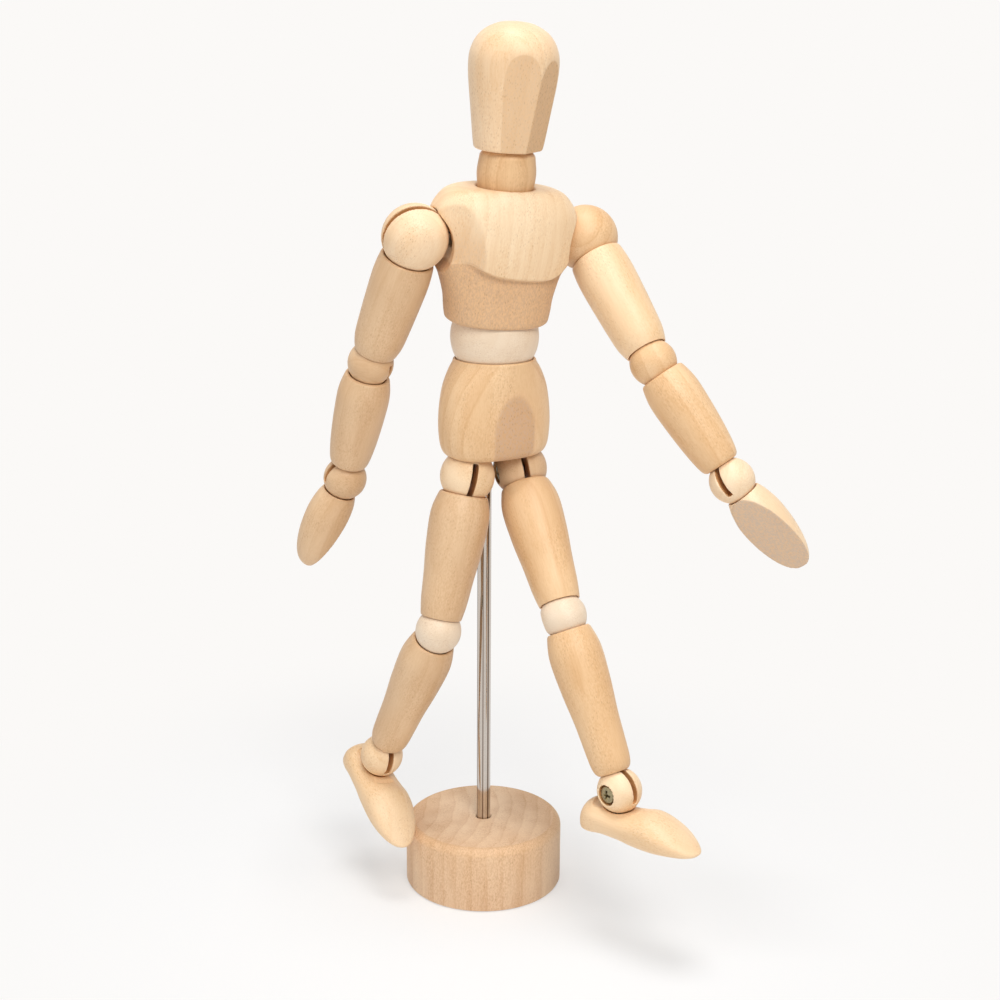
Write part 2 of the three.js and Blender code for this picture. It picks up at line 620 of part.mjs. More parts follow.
// Hand: turned drop with a flat palm cut aslant
function handSolid() {
  const cup = (WRIST_BALL_RADIUS + CUP_GAP) / Math.cos(Math.PI / 14);
  const rim = 5.4;
  const start = -Math.sqrt(cup * cup - rim * rim);
  const span = HAND_LENGTH + start;
  const side = outline([
    [start, rim + CUP_LIP],
    [start - span * 0.12, HAND_RADIUS * 0.89],
    [start - span * 0.3, HAND_RADIUS],
    [start - span * 0.55, HAND_RADIUS * 0.98],
    [start - span * 0.76, HAND_RADIUS * 0.82],
    [start - span * 0.9, HAND_RADIUS * 0.57],
    [start - span * 0.975, HAND_RADIUS * 0.28],
    [-HAND_LENGTH, 0],
  ], 11);
  const bore = -cup - 10.5;
  const body = turned([
    [0, bore],
    [LIMB_BORE_RADIUS - 0.4, bore],
    ...cupArc(cup, 0, -1, LIMB_BORE_RADIUS - 0.4, rim, 2),
    ...side,
  ], 14);
  const palm = box([-30, -60, -60], [30, 0, 60]).rotate([PALM_SLANT, 0, 0])
    .translate([0, -PALM_DEPTH, -HAND_LENGTH / 2]);
  return body.subtract(palm);
}

// Foot: sole flat under the ball of the foot, raised arch, cup on the instep
function footSolid() {
  const [heel, toe, wide, sole] = [FOOT_HEEL_REACH, FOOT_TOE_REACH, FOOT_HALF_WIDTH, SOLE_BELOW_ANKLE];
  const stations = [
    [-1, 0.2, 0.7, 0.9],
    [-0.95, 0.55, 0.5, 1],
    [-0.84, 0.76, 0.37, 1.03],
    [-0.6, 0.88, 0.3, 1.02],
    [-0.3, 0.9, 0.33, 0.98],
    [0.07, 0.92, 0.38, 0.98],
    [0.26, 0.97, 0.34, 1.02],
    [0.42, 1, 0.28, 1.04],
    [0.58, 0.99, 0.36, 1.03],
    [0.74, 0.88, 0.51, 1],
    [0.87, 0.66, 0.68, 0.98],
    [0.96, 0.38, 0.81, 0.95],
    [1, 0.12, 0.87, 0.91],
  ];
  const rings = stations.map(([share, width, top, bottom]) => {
    const middle = -sole * (top + bottom) * 0.5;
    const half = sole * (bottom - top) * 0.5;
    return [share < 0 ? share * heel : share * toe, wide * width, half, middle];
  });
  const segments = 16;
  const positions = [];
  const index = [];
  rings.forEach(([along, half, tall, middle]) => {
    for (let i = 0; i < segments; i += 1) {
      const angle = (2 * Math.PI * i) / segments;
      const lower = Math.sin(angle) < 0;
      const power = lower ? 2 / 3 : 2 / 2.1;
      const x = Math.sign(Math.cos(angle)) * Math.abs(Math.cos(angle)) ** power;
      const z = Math.sign(Math.sin(angle)) * Math.abs(Math.sin(angle)) ** power;
      positions.push(half * x, -along, middle + tall * z);
    }
  });
  const ends = [rings[0], rings[rings.length - 1]].map(([along, , , middle]) => [0, -along, middle]);
  const first = positions.length / 3;
  positions.push(...ends[0], ...ends[1]);
  for (let i = 0; i < segments; i += 1) {
    const next = (i + 1) % segments;
    const last = (rings.length - 1) * segments;
    index.push(first, next, i, first + 1, last + i, last + next);
    for (let k = 0; k < rings.length - 1; k += 1) {
      const a = k * segments;
      const b = a + segments;
      index.push(a + i, a + next, b + next, a + i, b + next, b + i);
    }
  }
  const geometry = new THREE.BufferGeometry();
  geometry.setAttribute('position', new THREE.Float32BufferAttribute(positions, 3));
  geometry.setIndex(index);
  const cup = ANKLE_BALL_RADIUS + CUP_GAP;
  const recess = turned([[0, -5.9], [8.6, -5.9], [9.6, -4.4], [9.6, 4], [0, 4]], 16);
  return toSolid(geometry)
    .subtract(sphere(cup, 0, 0, 0, 14, 9, true))
    .subtract(recess)
    .subtract(rod(LIMB_BORE_RADIUS - 0.4, -cup - 4.6, 0));
}

const limbShapes = {
  upperArm: [[0.03, 0.95], [0.2, 1], [0.44, 0.975], [0.68, 0.93], [0.86, 0.88], [0.96, 0.79]],
  forearm: [[0.03, 0.88], [0.2, 1], [0.45, 0.98], [0.7, 0.91], [0.88, 0.82], [0.97, 0.73]],
  thigh: [[0.03, 0.86], [0.18, 1], [0.44, 0.96], [0.66, 0.86], [0.86, 0.79], [0.96, 0.73]],
  shank: [[0.03, 0.86], [0.17, 1], [0.4, 0.95], [0.62, 0.84], [0.8, 0.79], [0.92, 0.75], [0.975, 0.68]],
};

const arm = {
  socket: SHOULDER_BALL_RADIUS,
  middle: ELBOW_BALL_RADIUS,
  end: WRIST_BALL_RADIUS,
  lengths: [UPPER_ARM_LENGTH, FOREARM_LENGTH],
  radii: [UPPER_ARM_RADIUS, FOREARM_RADIUS],
  shapes: [limbShapes.upperArm, limbShapes.forearm],
  cups: [SHOULDER_BALL_RADIUS * 0.74, ELBOW_BALL_RADIUS * 0.84, WRIST_BALL_RADIUS * 0.66],
  floor: SHOULDER_BALL_RADIUS * 0.6,
  names: ['shoulder', 'upper_arm', 'elbow', 'forearm', 'wrist', 'hand'],
  tip: handSolid,
  hookCoil: 5,
};
const leg = {
  socket: HIP_BALL_RADIUS,
  middle: KNEE_BALL_RADIUS,
  end: ANKLE_BALL_RADIUS,
  lengths: [THIGH_LENGTH, SHANK_LENGTH],
  radii: [THIGH_RADIUS, SHANK_RADIUS],
  shapes: [limbShapes.thigh, limbShapes.shank],
  cups: [HIP_BALL_RADIUS * 0.8, KNEE_BALL_RADIUS * 0.84, ANKLE_BALL_RADIUS * 0.64],
  floor: HIP_BALL_RADIUS * 0.62,
  names: ['hip', 'thigh', 'knee', 'shank', 'ankle', 'foot'],
  tip: footSolid,
  hookCoil: 3,
};

// One arm or leg from its socket outwards; turnings alternate between twist and pivot screw
function addLimb(socket, kind, side, pose, [nearHead, midHead, endHead]) {
  const [ballName, upperName, midName, lowerName, endName, tipName] = kind.names;
  const [upperLength, lowerLength] = kind.lengths;
  const ball = turnBy(turnBy(socket, 'z', pose.swivel), 'y', pose.tilt);
  place(ball, `${side}_${ballName}_ball`, slottedBall(kind.socket, -1, kind.floor, true, nearHead), wood);
  place(ball, `${side}_${ballName}_screw`, pivotScrew(kind.socket, nearHead), nickel);

  const upper = turnBy(ball, 'x', pose.hinge);
  place(upper, `${side}_${upperName}_spring`,
    toGeometry(limbSpring(upperLength, pose.midTurn * degrees, HOOK_SIDE_STEP, -HOOK_SIDE_STEP)), spring);
  place(upper, `${side}_${upperName}`, turnedLimb(upperLength, kind.radii[0], kind.socket, kind.cups[0],
    kind.middle, kind.cups[1], kind.shapes[0]), wood);

  const middle = turnBy(frameAt(upper, 0, 0, -upperLength), 'z', pose.midTurn);
  place(middle, `${side}_${midName}_ball`, slottedBall(kind.middle, -1, AXIAL_HOLE_RADIUS, false, midHead), wood);
  place(middle, `${side}_${midName}_screw`, pivotScrew(kind.middle, midHead), nickel);

  const lower = turnBy(middle, 'x', pose.mid);
  place(lower, `${side}_${lowerName}_spring`,
    toGeometry(limbSpring(lowerLength, pose.lowerTurn * degrees, HOOK_SIDE_STEP, HOOK_SIDE_STEP)), spring);
  const lowerLimb = turnBy(lower, 'z', pose.lowerTurn);
  place(lowerLimb, `${side}_${lowerName}`, turnedLimb(lowerLength, kind.radii[1], kind.middle, kind.cups[1],
    kind.end, kind.cups[2], kind.shapes[1]), wood);

  const end = turnBy(frameAt(lowerLimb, 0, 0, -lowerLength), 'x', pose.end);
  place(end, `${side}_${endName}_ball`, slottedBall(kind.end, 1, AXIAL_HOLE_RADIUS, true, endHead), wood);
  place(end, `${side}_${endName}_screw`, pivotScrew(kind.end, endHead), nickel);
  const coilTop = -(kind.end + CUP_GAP + 1);
  place(end, `${side}_${tipName}_hook`, toGeometry(anchorHook(-HOOK_SIDE_STEP, coilTop, kind.hookCoil)), spring);

  const tip = turnBy(end, 'z', pose.tipTurn);
  place(tip, `${side}_${tipName}`, toGeometry(kind.tip()), wood);
}

for (const [side, sign] of [['right', -1], ['left', 1]]) {
  const shoulder = frameAt(chestFrame, sign * SHOULDER_HALF_SPACING, 0, SHOULDER_ABOVE_WAIST);
  addLimb(turnBy(shoulder, 'y', -90 * sign), arm, side, ARM_POSE[side], [1, -1, -sign]);
}

// Legs hang on a spring each: eye on the hip screw, coil in the pelvis above
for (const [side, sign] of [['right', -1], ['left', 1]]) {
  const socket = frameAt(hips, sign * HIP_HALF_SPACING, 0, 0);
  const pose = LEG_POSE[side];
  const frame = new THREE.Matrix4().makeRotationZ(pose.swivel * degrees)
    .multiply(new THREE.Matrix4().makeRotationY(pose.tilt * degrees));
  const eye = trunkEyePoints(frame);
  const end = eye[eye.length - 1];
  const grip = coilPoints(HOOK_RADIUS, -hipCup - 1.5, COIL_PITCH * 5, 5, Math.atan2(end.y, end.x))
    .map((p) => p.setZ(-p.z));
  place(socket, `${side}_hip_spring`, toGeometry(wire([...eye, ...grip])), spring);
  addLimb(socket, leg, side, pose, [-sign, -sign, -sign]);
}

export default figure;
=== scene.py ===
import json
from math import acos, asin, atan2, ceil, copysign, cos, degrees, exp, log, pi, radians, sin, sqrt, tan

import bmesh
import bpy
from mathutils import Matrix, Quaternion, Vector


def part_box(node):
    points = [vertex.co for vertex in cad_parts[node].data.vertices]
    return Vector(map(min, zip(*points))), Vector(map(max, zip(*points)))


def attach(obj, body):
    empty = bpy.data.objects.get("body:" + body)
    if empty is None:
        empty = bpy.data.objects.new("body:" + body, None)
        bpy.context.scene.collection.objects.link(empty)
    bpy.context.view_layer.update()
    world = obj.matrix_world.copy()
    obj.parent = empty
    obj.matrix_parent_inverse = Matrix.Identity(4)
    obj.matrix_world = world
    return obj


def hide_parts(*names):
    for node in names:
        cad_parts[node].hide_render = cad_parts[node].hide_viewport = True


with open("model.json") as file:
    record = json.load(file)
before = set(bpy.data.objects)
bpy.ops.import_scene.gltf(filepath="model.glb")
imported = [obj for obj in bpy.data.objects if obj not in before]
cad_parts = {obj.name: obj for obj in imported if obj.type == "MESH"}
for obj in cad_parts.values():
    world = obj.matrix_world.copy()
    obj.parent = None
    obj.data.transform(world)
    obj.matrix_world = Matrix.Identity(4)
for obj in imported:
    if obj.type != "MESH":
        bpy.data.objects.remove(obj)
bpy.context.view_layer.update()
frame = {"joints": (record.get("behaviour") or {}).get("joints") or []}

# The figure is seen from a little above, 31 degrees off the way its pelvis faces, by a camera a
# little over half a metre away. Its joints say where each piece sits and which way it points.

joints = {joint["name"]: joint for joint in frame["joints"]}


def joint_centre(name):
    return Vector(joints[name]["pos_m"])


def joint_axis(name):
    return Vector(joints[name]["axis"]).normalized()


def turn_about(axis, angle, size=4):
    """Rotation matrix of 3 or 4 rows; the angle is in degrees."""
    return Matrix.Rotation(radians(angle), size, axis)


def seat(centre, up, across, turn=0):
    """Place of a piece: its own Z along up, its own X as near across as that allows."""
    across = (across - up * across.dot(up)).normalized()
    turned = Matrix((across, up.cross(across), up)).transposed().to_4x4()
    return Matrix.Translation(centre) @ turned @ turn_about("Z", turn)


def new_piece(name, data):
    """Object of a mesh, curve, camera or lamp, put into the scene."""
    piece = bpy.data.objects.new(name, data)
    bpy.context.scene.collection.objects.link(piece)
    return piece


CAMERA_YAW, CAMERA_TILT, CAMERA_ROLL, LENS = 31, 15.2, 0.33, 60.05
CAMERA_ASIDE, CAMERA_BACK, CAMERA_HEIGHT = 0.0053, 0.551, 0.291
yaw = turn_about("Z", -CAMERA_YAW)
camera = new_piece("camera", bpy.data.cameras.new("camera"))
camera.data.lens = LENS
camera.data.sensor_width = 36
camera.data.clip_start = 0.01
camera.matrix_world = (
    yaw
    @ Matrix.Translation((CAMERA_ASIDE, -CAMERA_BACK, CAMERA_HEIGHT))
    @ turn_about("X", 90 - CAMERA_TILT)
    @ turn_about("Z", CAMERA_ROLL)
)
bpy.context.scene.camera = camera

# Every wooden piece is clear-lacquered beech: pale, with faint growth rings and many short dark
# flecks along the grain. Inside a saw cut or a cup the wood has no lacquer, and its darker brown
# there is painted shade.


def shader_group(name, inputs, outputs):
    """Empty shader node group with its sockets; returns the tree and its two end nodes."""
    tree = bpy.data.node_groups.new(name, "ShaderNodeTree")
    for socket, kind, value in inputs:
        made = tree.interface.new_socket(socket, in_out="INPUT", socket_type=kind)
        made.default_value = value
    for socket, kind in outputs:
        tree.interface.new_socket(socket, in_out="OUTPUT", socket_type=kind)
    return tree, tree.nodes.new("NodeGroupInput"), tree.nodes.new("NodeGroupOutput")


def plug(tree, made, inputs):
    """Give a node's inputs, by name or number, a value or another node's socket."""
    for key, value in inputs.items():
        if isinstance(value, bpy.types.NodeSocket):
            tree.links.new(value, made.inputs[key])
        else:
            made.inputs[key].default_value = value


def node(tree, kind, settings=None, **inputs):
    """Node with settings and plugged inputs; _0 is the first input, _1 the next."""
    made = tree.nodes.new(kind)
    for key, value in (settings or {}).items():
        setattr(made, key, value)
    plug(tree, made, {int(key[1:]) if key[1:].isdigit() else key: value for key, value in inputs.items()})
    return made


def maths(tree, operation, a, b=0.5, c=0.0, clamp=False):
    settings = {"operation": operation, "use_clamp": clamp}
    return node(tree, "ShaderNodeMath", settings, _0=a, _1=b, _2=c).outputs[0]


def between(tree, value, low, high):
    """0 below low, 1 above high, smooth between."""
    made = node(tree, "ShaderNodeMapRange", {"interpolation_type": "SMOOTHSTEP"}, Value=value)
    plug(tree, made, {"From Min": low, "From Max": high})
    return made.outputs[0]


def stretched(tree, place, scale):
    settings = {"operation": "MULTIPLY"}
    return node(tree, "ShaderNodeVectorMath", settings, _0=place, _1=scale).outputs[0]


def blended(tree, mask, a, b, blend="MIX"):
    settings = {"data_type": "RGBA", "blend_type": blend}
    return node(tree, "ShaderNodeMix", settings, _0=mask, _6=a, _7=b).outputs[2]


def beech_grain():
    """Node group: colour, roughness and height of beech, from a place in millimetres along the grain."""
    tree, given, made = shader_group(
        "beech grain",
        [
            ("Place", "NodeSocketVector", (0, 0, 0)),
            ("Bare", "NodeSocketFloat", 0),
            ("Pale", "NodeSocketColor", (0.8, 0.6, 0.4, 1)),
            ("Deep", "NodeSocketColor", (0.6, 0.4, 0.2, 1)),
            ("Bare And Shaded Wood", "NodeSocketColor", (0.6, 0.4, 0.2, 1)),
            ("Fleck", "NodeSocketColor", (0.3, 0.15, 0.07, 1)),
            ("Flecks", "NodeSocketFloat", 0.5),
            ("Rings", "NodeSocketFloat", 0.3),
            ("Ring Count", "NodeSocketFloat", 0.4),
        ],
        [("Color", "NodeSocketColor"), ("Roughness", "NodeSocketFloat"), ("Height", "NodeSocketFloat")],
    )
    place, bare = given.outputs["Place"], given.outputs["Bare"]

    def times(a, b):
        return maths(tree, "MULTIPLY", a, b)

    def plus(a, b):
        return maths(tree, "ADD", a, b)

    def noise(scale, detail=2):
        at = stretched(tree, place, scale)
        return node(tree, "ShaderNodeTexNoise", Vector=at, Scale=1, Detail=detail).outputs[0]

    patch = between(tree, noise((0.07, 0.07, 0.02)), 0.3, 0.7)
    flat = stretched(tree, place, (1, 1, 0.02))
    across = node(tree, "ShaderNodeVectorMath", {"operation": "LENGTH"}, _0=flat).outputs["Value"]
    ring = times(across, given.outputs["Ring Count"])
    ring = maths(tree, "FRACT", maths(tree, "MULTIPLY_ADD", noise((0.06, 0.06, 0.015)), 1.1, ring))
    reset = maths(tree, "SUBTRACT", 1, between(tree, ring, 0.86, 1))
    line = times(between(tree, ring, 0.78, 0.88), reset)
    band = times(between(tree, ring, 0.1, 0.95), reset)
    band = maths(tree, "MULTIPLY_ADD", line, 0.5, band)
    fibre = between(tree, noise((2.6, 2.6, 0.12), 3), 0.35, 0.7)
    mottle = between(tree, noise((2.1, 2.1, 1.1), 1), 0.36, 0.64)
    clouds = between(tree, noise((0.11, 0.11, 0.045)), 0.36, 0.62)
    busy = maths(tree, "MAXIMUM", maths(tree, "MULTIPLY_ADD", clouds, 0.85, 0.12), bare)
    cells = node(tree, "ShaderNodeTexVoronoi", Vector=stretched(tree, place, (1.9, 1.9, 0.8)), Scale=1)
    fleck = maths(tree, "SUBTRACT", 1, between(tree, cells.outputs["Distance"], 0.14, 0.42))
    chance = node(tree, "ShaderNodeSeparateColor", Color=cells.outputs["Color"]).outputs[0]
    fleck = times(times(fleck, between(tree, chance, 0.05, 0.95)), busy)
    strength = maths(tree, "MULTIPLY_ADD", bare, 0.08, given.outputs["Flecks"])
    dark = maths(tree, "MULTIPLY", fleck, strength, clamp=True)
    tone = plus(times(patch, 0.45), times(fibre, 0.16))
    tone = plus(tone, times(times(mottle, busy), 0.26))
    tone = maths(tree, "ADD", tone, times(band, given.outputs["Rings"]), clamp=True)
    colour = blended(tree, tone, given.outputs["Pale"], given.outputs["Deep"])
    # The darkening mask blends towards the darker wood: sanded-through lacquer, and painted shade on the
    # lower chest.
    spotted = times(mottle, 0.6)
    worn_and_shaded = blended(tree, spotted, given.outputs["Bare And Shaded Wood"], given.outputs["Deep"])
    colour = blended(tree, times(bare, 0.85), colour, worn_and_shaded)
    colour = blended(tree, dark, colour, given.outputs["Fleck"])
    rough = plus(plus(0.47, times(bare, 0.2)), times(dark, 0.25))
    height = maths(tree, "SUBTRACT", times(fibre, 0.25), dark)
    plug(tree, made, {"Color": colour, "Roughness": rough, "Height": height})
    return tree


beech = beech_grain()


def linear(red, green, blue):
    """Linear colour from the 0 to 255 values that a picture shows."""
    return (*[((v / 255 + 0.055) / 1.055) ** 2.4 for v in (red, green, blue)], 1)


def blank_material(name):
    """New material, its node tree and its surface node."""
    material = bpy.data.materials.new(name)
    material.use_nodes = True
    return material, material.node_tree, material.node_tree.nodes["Principled BSDF"]


def wood(
    name, pale, deep, bare, fleck=(168, 116, 72), flecks=0.36, rings=0.12, ring_count=0.26, coat=0.08
):
    """Lacquered beech whose grain, and whose darker patches of sanded-through lacquer and of painted shade,
    follow each piece's own attributes.
    """
    material, tree, body = blank_material(name)
    place = node(tree, "ShaderNodeAttribute", {"attribute_name": "grain"})
    worn_and_shaded = node(tree, "ShaderNodeAttribute", {"attribute_name": "bare"})
    grain = node(
        tree, "ShaderNodeGroup", {"node_tree": beech}, Place=place.outputs["Vector"],
        Bare=worn_and_shaded.outputs["Fac"], Pale=linear(*pale), Deep=linear(*deep), Fleck=linear(*fleck),
        Flecks=flecks, Rings=rings,
    )
    plug(tree, grain, {"Bare And Shaded Wood": linear(*bare), "Ring Count": ring_count})
    bump = node(tree, "ShaderNodeBump", Strength=0.25, Distance=0.00006, Height=grain.outputs["Height"])
    plug(tree, body, {"Base Color": grain.outputs["Color"], "Roughness": grain.outputs["Roughness"]})
    plug(tree, body, {"Normal": bump.outputs[0], "IOR": 1.46, "Coat Weight": coat, "Coat Roughness": 0.4})
    return material


cream_beech = wood("cream beech", (250, 221, 184), (230, 188, 138), (202, 178, 160))
honey_beech = wood("honey beech", (242, 206, 162), (216, 168, 116), (206, 168, 136), flecks=0.4, rings=0.2)
# A darker copy of the beech, painted shade for pieces in shadow: the right arm and leg and the left hip ball.
shaded_dusky_beech = wood("shaded dusky beech", (229, 194, 154), (204, 160, 114), (220, 182, 146))
# Its third colour darkens the chest below the ledge, as painted shade, and half of the way on the flat beside
# the right arm.
tan_beech = wood("tan beech", (252, 226, 190), (230, 186, 136), (202, 160, 122))
head_beech = wood("head beech", (249, 220, 184), (230, 186, 136), (213, 172, 129), flecks=0.42)
fair_beech = wood("fair beech", (250, 224, 190), (230, 190, 144), (202, 178, 158), flecks=0.08, rings=0.14)
pale_beech = wood("pale beech", (243, 223, 198), (228, 200, 168), (236, 206, 170), flecks=0.25, rings=0.1)
base_beech = wood(
    "base beech", (250, 220, 186), (208, 160, 116), (230, 188, 142), flecks=0.4, rings=0.2, ring_count=0.2
)
# Inside of cuts, cups and bores: unlacquered wood, darkened as painted shade.
cut_shaded_beech = wood(
    "cut shaded beech", (226, 172, 116), (196, 140, 86), (196, 140, 86), (130, 80, 44), 0.5, 0.25, coat=0
)


def applied(piece):
    """The piece with its modifiers made real."""
    graph = bpy.context.evaluated_depsgraph_get()
    graph.update()
    mesh = bpy.data.meshes.new_from_object(piece.evaluated_get(graph))
    piece.modifiers.clear()
    piece.data = mesh
    return piece


def from_bmesh(bm, name="blank"):
    bmesh.ops.remove_doubles(bm, verts=bm.verts, dist=1e-4)
    bmesh.ops.recalc_face_normals(bm, faces=bm.faces)
    mesh = bpy.data.meshes.new(name)
    bm.to_mesh(mesh)
    bm.free()
    return mesh


def carved(mesh, cutters):
    """Mesh with each cutter mesh taken away from it."""
    piece = new_piece("blank", mesh)
    tools = []
    for cutter in cutters:
        tool = new_piece("cutter", cutter)
        tools.append(tool)
        modifier = piece.modifiers.new("cut", "BOOLEAN")
        modifier.operation = "DIFFERENCE"
        modifier.solver = "EXACT"
        modifier.object = tool
    applied(piece)
    mesh = piece.data
    for used in [piece, *tools]:
        bpy.data.objects.remove(used)
    return mesh


def sanded(mesh, grain, rounds=3):
    """Mesh remade at an even grain in millimetres, its edges rounded as sandpaper does."""
    piece = new_piece("blank", mesh)
    remesh = piece.modifiers.new("even", "REMESH")
    remesh.mode = "VOXEL"
    remesh.voxel_size = grain
    smooth = piece.modifiers.new("sand", "SMOOTH")
    smooth.factor = 0.5
    smooth.iterations = rounds
    applied(piece)
    mesh = piece.data
    bpy.data.objects.remove(piece)
    return mesh


def spun(profile, turns=64, close=False):
    """Turned blank from [radius, height] pairs."""
    bm = bmesh.new()
    verts = [bm.verts.new((radius, 0, height)) for radius, height in profile]
    edges = [bm.edges.new(pair) for pair in zip(verts, verts[1:])]
    if close:
        edges.append(bm.edges.new((verts[-1], verts[0])))
    bmesh.ops.spin(
        bm, geom=[*verts, *edges], cent=(0, 0, 0), axis=(0, 0, 1), angle=2 * pi, steps=turns, use_merge=True
    )
    return from_bmesh(bm)


def ball_blank(radius, centre=(0, 0, 0), wide=64, tall=40):
    bm = bmesh.new()
    bmesh.ops.create_uvsphere(bm, u_segments=wide, v_segments=tall, radius=radius)
    bmesh.ops.translate(bm, verts=bm.verts, vec=centre)
    return from_bmesh(bm)


def peg_blank(radius, low, high, place=None, steps=32):
    """Round peg along Z from low to high, then moved to place."""
    bm = bmesh.new()
    bmesh.ops.create_cone(
        bm, cap_ends=True, segments=steps, radius1=radius, radius2=radius, depth=high - low,
        matrix=Matrix.Translation((0, 0, (low + high) / 2)),
    )
    bmesh.ops.transform(bm, matrix=place or Matrix.Identity(4), verts=bm.verts)
    return from_bmesh(bm)


def block_blank(low, high, place=None):
    low, high = Vector(low), Vector(high)
    bm = bmesh.new()
    sized = Matrix.Translation((low + high) / 2) @ Matrix.Diagonal((*(high - low), 1))
    bmesh.ops.create_cube(bm, size=1, matrix=sized)
    bmesh.ops.transform(bm, matrix=place or Matrix.Identity(4), verts=bm.verts)
    return from_bmesh(bm)


def ring_loft(rings, around=96):
    """Lofted blank: each ring is a function that gives its point (x, y, z) at an angle."""
    bm = bmesh.new()
    first = bmesh.ops.create_circle(bm, segments=around, radius=1, cap_ends=False)["verts"]
    first = sorted(first, key=lambda v: atan2(v.co.y, v.co.x) % (2 * pi))
    angles = [atan2(v.co.y, v.co.x) for v in first]
    ring, loops = first, [first]
    for _ in rings[1:]:
        edges = [bm.edges.get(pair) for pair in zip(ring, ring[1:] + ring[:1])]
        grown = bmesh.ops.extrude_edge_only(bm, edges=edges)["geom"]
        fresh = [g for g in grown if isinstance(g, bmesh.types.BMVert)]
        ring = sorted(fresh, key=lambda v: atan2(v.co.y, v.co.x) % (2 * pi))
        loops.append(ring)
    for loop, shape in zip(loops, rings):
        for vert, angle in zip(loop, angles):
            vert.co = shape(angle)
    for loop in (loops[0], loops[-1]):
        edges = [bm.edges.get(pair) for pair in zip(loop, loop[1:] + loop[:1])]
        bmesh.ops.edgeloop_fill(bm, edges=edges)
    return from_bmesh(bm)


grain_pieces = []


def finished(
    name, mesh, place, body, replaced, materials, inside=None, bare=None, grain_turn=None,
    pith=None, smooth=40,
):
    """Piece set in its place on its body, for one CAD node. inside picks the faces with the second
    material, and the darkening function says how far a point takes the darker wood: where the lacquer
    is sanded off, and as painted shade below the chest's ledge."""
    mesh.materials.clear()
    for material in materials:
        mesh.materials.append(material)
    for polygon in mesh.polygons:
        polygon.use_smooth = True
        polygon.material_index = 1 if inside and inside(polygon.center) else 0
    grain = mesh.attributes.new("grain", "FLOAT_VECTOR", "POINT")
    turn = grain_turn or Matrix.Identity(3)
    number = len(grain_pieces)
    shift = pith or Vector((11.3 * (number % 5) + 3, 7.9 * (number % 7) - 9, 61.7 * number))
    values = [axis for vert in mesh.vertices for axis in turn @ vert.co + shift]
    grain.data.foreach_set("vector", values)
    if bare:
        worn_and_shaded = mesh.attributes.new("bare", "FLOAT", "POINT")
        worn_and_shaded.data.foreach_set("value", [bare(vert.co) for vert in mesh.vertices])
    mesh.transform(place @ Matrix.Scale(0.001, 4))
    if smooth:
        mesh.set_sharp_from_angle(angle=radians(smooth))
    piece = new_piece(name, mesh)
    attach(piece, body)
    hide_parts(*replaced)
    grain_pieces.append(piece)
    return piece


def off_axis(reach, radius):
    """Angle in degrees at which a circle of radius stands reach away from the axis."""
    return degrees(asin(reach / radius))


def arc(radius, centre, start, end, steps):
    """Arc about (0, centre) in [radius, height] pairs; angles in degrees from straight up."""
    angles = [radians(start + (end - start) * i / steps) for i in range(steps + 1)]
    return [(radius * sin(a), centre + radius * cos(a)) for a in angles]


def through(pairs, steps=8):
    """Smooth line through points given as pairs (Catmull-Rom)."""
    points = [Vector(p) for p in pairs]
    padded = [points[0] * 2 - points[1], *points, points[-1] * 2 - points[-2]]
    line = []
    for a, b, c, d in zip(padded, padded[1:], padded[2:], padded[3:]):
        for i in range(steps):
            t = i / steps
            bend, twist = 2 * a - 5 * b + 4 * c - d, 3 * b - a - 3 * c + d
            line.append(tuple(0.5 * (2 * b + (c - a) * t + bend * t * t + twist * t**3)))
    line.append(tuple(points[-1]))
    return line


def smooth_columns(rows, steps):
    """Smooth line of each later column of the rows against their first."""
    return [through([(row[0], row[k]) for row in rows], steps) for k in range(1, len(rows[0]))]


def eased(value, low, high):
    share = min(max((value - low) / (high - low), 0), 1)
    return share * share * (3 - 2 * share)


def rounded(value, power):
    return copysign(abs(value) ** power, value)


# Stand: one heavy turned disc of beech, its top edge rounded over, with a blind hole bored in
# the middle for the rod. The growth rings of the board run across its face.
BASE_RADIUS, BASE_HEIGHT, BASE_ROUND = 27.8, 23.3, 2.9
ROD_RADIUS, ROD_HOLE, ROD_HOLE_FLOOR = 2.4, 2.6, 8.3

base_profile = [(0, 0), (BASE_RADIUS - 0.9, 0), (BASE_RADIUS - 0.3, 0.2), (BASE_RADIUS, 0.8)]
for radius, height in arc(BASE_ROUND, BASE_HEIGHT - BASE_ROUND, 90, 0, 12):
    base_profile.append((BASE_RADIUS - BASE_ROUND + radius, height))
base_profile += [(ROD_HOLE + 0.35, BASE_HEIGHT), (ROD_HOLE, BASE_HEIGHT - 0.35)]
base_profile += [(ROD_HOLE, ROD_HOLE_FLOOR), (0, ROD_HOLE_FLOOR)]


def rubbed_edge(point):
    """Where the sander opened the grain: most on the rounded edge, a little down the side."""
    out = Vector((point.x, point.y)).length
    edge = eased(out, BASE_RADIUS - BASE_ROUND - 0.3, BASE_RADIUS - BASE_ROUND + 0.3)
    return edge * (0.25 + 0.5 * eased(point.z, BASE_HEIGHT - BASE_ROUND - 2, BASE_HEIGHT - BASE_ROUND + 1))


finished(
    "turned_base", spun(base_profile, 128), Matrix.Identity(4), "stand", ["base"], [base_beech],
    bare=rubbed_edge, grain_turn=turn_about("Z", CAMERA_YAW + 14, 3),
    pith=Vector((72, 10, 0)),
)

# Rod: bright plated steel, pushed into the base and up into the pelvis. Long polishing marks run
# along it, and dark upright streaks are a painted reflection of the room that it mirrors.
rod_foot, rod_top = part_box("stand_rod")[0].z * 1000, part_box("stand_rod")[1].z * 1000
rod_profile = [
    (0, rod_foot), (ROD_RADIUS - 0.4, rod_foot), (ROD_RADIUS, rod_foot + 0.4),
    (ROD_RADIUS, rod_top - 0.4), (ROD_RADIUS - 0.4, rod_top), (0, rod_top),
]


